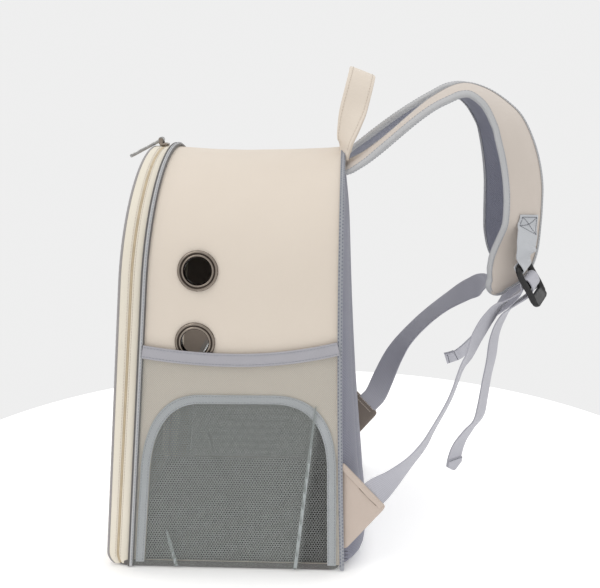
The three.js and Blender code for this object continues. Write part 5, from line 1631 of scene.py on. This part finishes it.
def buckle(label, side):
    """Ladder-lock buckle: a rounded frame with three bars, a lifted lip and grip ribs."""
    bl, bw, bn = buckle_axes(label)
    W, L0, L1, r = 19.5, -24.0, 23.0, 6.0
    cs = [(W - r, L0 + r, -90), (W - r, L1 - r, 0), (-W + r, L1 - r, 90), (-W + r, L0 + r, 180)]
    outline = np.array([[cx + r * math.cos(math.radians(a0 + k * 11.25)), cy + r * math.sin(math.radians(a0 + k * 11.25))] for cx, cy, a0 in cs for k in range(9)])
    def slot_loop(a, b, c=14.9, q=1.6):
        cc = [(c - q, a + q, -90), (c - q, b - q, 0), (-c + q, b - q, 90), (-c + q, a + q, 180)]
        return np.array([[cx + q * math.cos(math.radians(a0 + k * 30)), cy + q * math.sin(math.radians(a0 + k * 30))] for cx, cy, a0 in cc for k in range(4)])
    holes = [even_loop(slot_loop(-18, -5), 1.6), even_loop(slot_loop(4, 10.8), 1.6)]
    out = even_loop(outline, 1.6)
    pts, tris = net_of(out, holes, 1.7)
    d = loop_distance(pts, out)
    for h in holes:
        d = np.minimum(d, loop_distance(pts, h))
    soft_r = 1.3
    half = 1.15 + 1.35 * np.sqrt(np.clip(1 - (1 - np.clip(d / soft_r, 0, 1)) ** 2, 0, 1))
    a, l = pts.T
    rail = np.clip((np.abs(a) - 14.6) / 2.2, 0, 1)
    half = half + 0.9 * rail * np.clip((23 - np.abs(l)) / 8, 0, 1)
    bar = np.clip(1 - np.abs(l + 0.5) / 5.5, 0, 1)
    lip = np.clip((l - 11.5) / 11.5, 0, 1)
    bend = 2.6 * lip**2 - 1.1 * np.clip((-18 - l) / 6, 0, 1) ** 2 + 0.9 * rail * np.sin((l + 2) / 8.0)
    ribs = 0.32 * np.maximum(np.sin((l - 14.0) * 2.4), 0) * np.clip((l - 14.2) / 1.2, 0, 1) * np.clip((22 - l) / 1.2, 0, 1) * np.clip((15.5 - np.abs(a)) / 2, 0, 1)
    top = half - 0.55 * (1 - rail) * bar + ribs
    low = -half + 0.5 * (1 - rail) * bar
    base = np.array(BUCKLE_AT[label]) + bw * a[:, None] + bl * l[:, None]
    outer, inner = base + bn * (top + bend)[:, None], base + bn * (low + bend)[:, None]
    sh = Shape()
    sh.solid(mirrored(outer, side), mirrored(inner, side), tris, pts)
    sh.build(f"ladder_buckle_{label}", M_PLASTIC, replaces=f"buckle_{label}", slot="black_plastic", sharp=60)


for label, side in SIDES:
    strap(label, side)
    webbing(label, side)
    buckle_loop(label, side)
    buckle(label, side)


# ------------------------------------------------------------------ zip slider and pull
def soft_box(bm, at, size, r, seg=3):
    made = bmesh.ops.create_cube(bm, size=1.0)
    vs = made["verts"]
    for v in vs:
        v.co = Vector([at[i] + v.co[i] * size[i] for i in range(3)])
    edges = list({e for v in vs for e in v.link_edges})
    bmesh.ops.bevel(bm, geom=edges, offset=r, segments=seg, profile=0.6, affect="EDGES", clamp_overlap=True)


def rod(bm, at, r, length, seg=20):
    made = bmesh.ops.create_cone(bm, cap_ends=True, segments=seg, radius1=r, radius2=r, depth=length)
    for v in made["verts"]:
        x, y, z = v.co
        v.co = Vector((at[0] + z, at[1] + y, at[2] + x))


def finish_bm(bm, name, mat, body, replaces, sharp=35):
    for v in bm.verts:
        v.co *= MM
    bmesh.ops.recalc_face_normals(bm, faces=bm.faces)
    me = bpy.data.meshes.new(name)
    bm.to_mesh(me)
    bm.free()
    me.materials.append(mat)
    me.polygons.foreach_set("use_smooth", np.ones(len(me.polygons), bool))
    me.set_sharp_from_angle(angle=math.radians(sharp))
    return place(name, me, body, replaces)


def slider():
    Y, Z = float(y_zip(HEIGHT, 10.25)), HEIGHT + 0.5
    bm = bmesh.new()
    soft_box(bm, (0, Y, Z + 1.6), (14, 9, 2.8), 1.1, 4)
    soft_box(bm, (0, Y, Z + 3.0), (8.6, 5.0, 1.0), 0.45, 3)
    ear = 1.5
    ex = PULL_HALF_W + 0.4 + ear / 2 + 0.1
    for k in (1, -1):
        soft_box(bm, (k * ex, PIN_Y, Z + 5.0), (ear, 4.4, 6.5), 0.55, 3)
        rod(bm, (k * (ex + 0.85), PIN_Y, PIN_Z), 1.5, 0.5)
    rod(bm, (0, PIN_Y, PIN_Z), 1.05, 2 * ex)
    finish_bm(bm, "zip_slider_body", M_METAL, "bag", "zip_slider")


def pull():
    """Flat pull with a rounded end, a sunk oval face on both sides and a barrel round the pin."""
    h, L, r = PULL_HALF_W, PULL_LEN, 3.6
    th = math.radians(PULL_DROP)
    ax_y = np.array([0, -math.cos(th), -math.sin(th)])     # along the pull
    ax_z = np.array([0, -math.sin(th), math.cos(th)])      # out of its face
    arc = [(h - r + r * math.cos(math.radians(a)), L - r + r * math.sin(math.radians(a))) for a in range(0, 91, 15)]
    loop = [(-h, 1.8), (h, 1.8), *arc, *[(-x, y) for x, y in arc[::-1]]]
    out = even_loop(np.array(loop), 0.8)
    pts, tris = net_of(out, [], 0.9)
    d = loop_distance(pts, out)
    oval = np.hypot(pts[:, 0] / 2.4, np.maximum(np.abs(pts[:, 1] - 24.0) - 9.0, 0) / 2.4)
    sunk = 0.45 * np.clip((1.0 - oval) / 0.25, 0, 1)
    half = 0.9 + 0.85 * np.sqrt(np.clip(1 - (1 - np.clip(d / 0.9, 0, 1)) ** 2, 0, 1)) - sunk
    base = np.array([0, PIN_Y, PIN_Z])
    def at(x, l, n):
        return base + np.stack([x, 0 * x, 0 * x], -1) + ax_y * l[:, None] + ax_z * n[:, None]
    sh = Shape()
    sh.solid(at(pts[:, 0], pts[:, 1], half), at(pts[:, 0], pts[:, 1], -half), tris, pts)
    prof = np.array([(-h, 1.5), (-h, 2.5), (-h + 0.5, 2.9), (h - 0.5, 2.9), (h, 2.5), (h, 1.5)])
    a = np.linspace(0, 2 * np.pi, 41)
    rings = np.array([[base + np.array([x, 0, 0]) + rr * (ax_y * math.cos(q) + ax_z * math.sin(q)) for x, rr in prof] for q in a])
    sh.loft(rings, np.arange(7.0), np.linspace(0, 18, 41), caps=False)
    q, v = sh.q[-1] - (sh.n - len(sh.v[-1])), sh.v[-1] - base
    tri = np.concatenate([q[:, :3], q[:, [0, 2, 3]]])
    if (v[tri[:, 0]] * np.cross(v[tri[:, 1]], v[tri[:, 2]])).sum() < 0:
        sh.q[-1], sh.uq[-1] = sh.q[-1][:, ::-1], sh.uq[-1][:, ::-1]
    o = sh.build("zip_pull_tab", M_PULL, body="zip_pull", replaces="zip_pull", slot="gunmetal", sharp=40)
    weld(o)


slider()
pull()
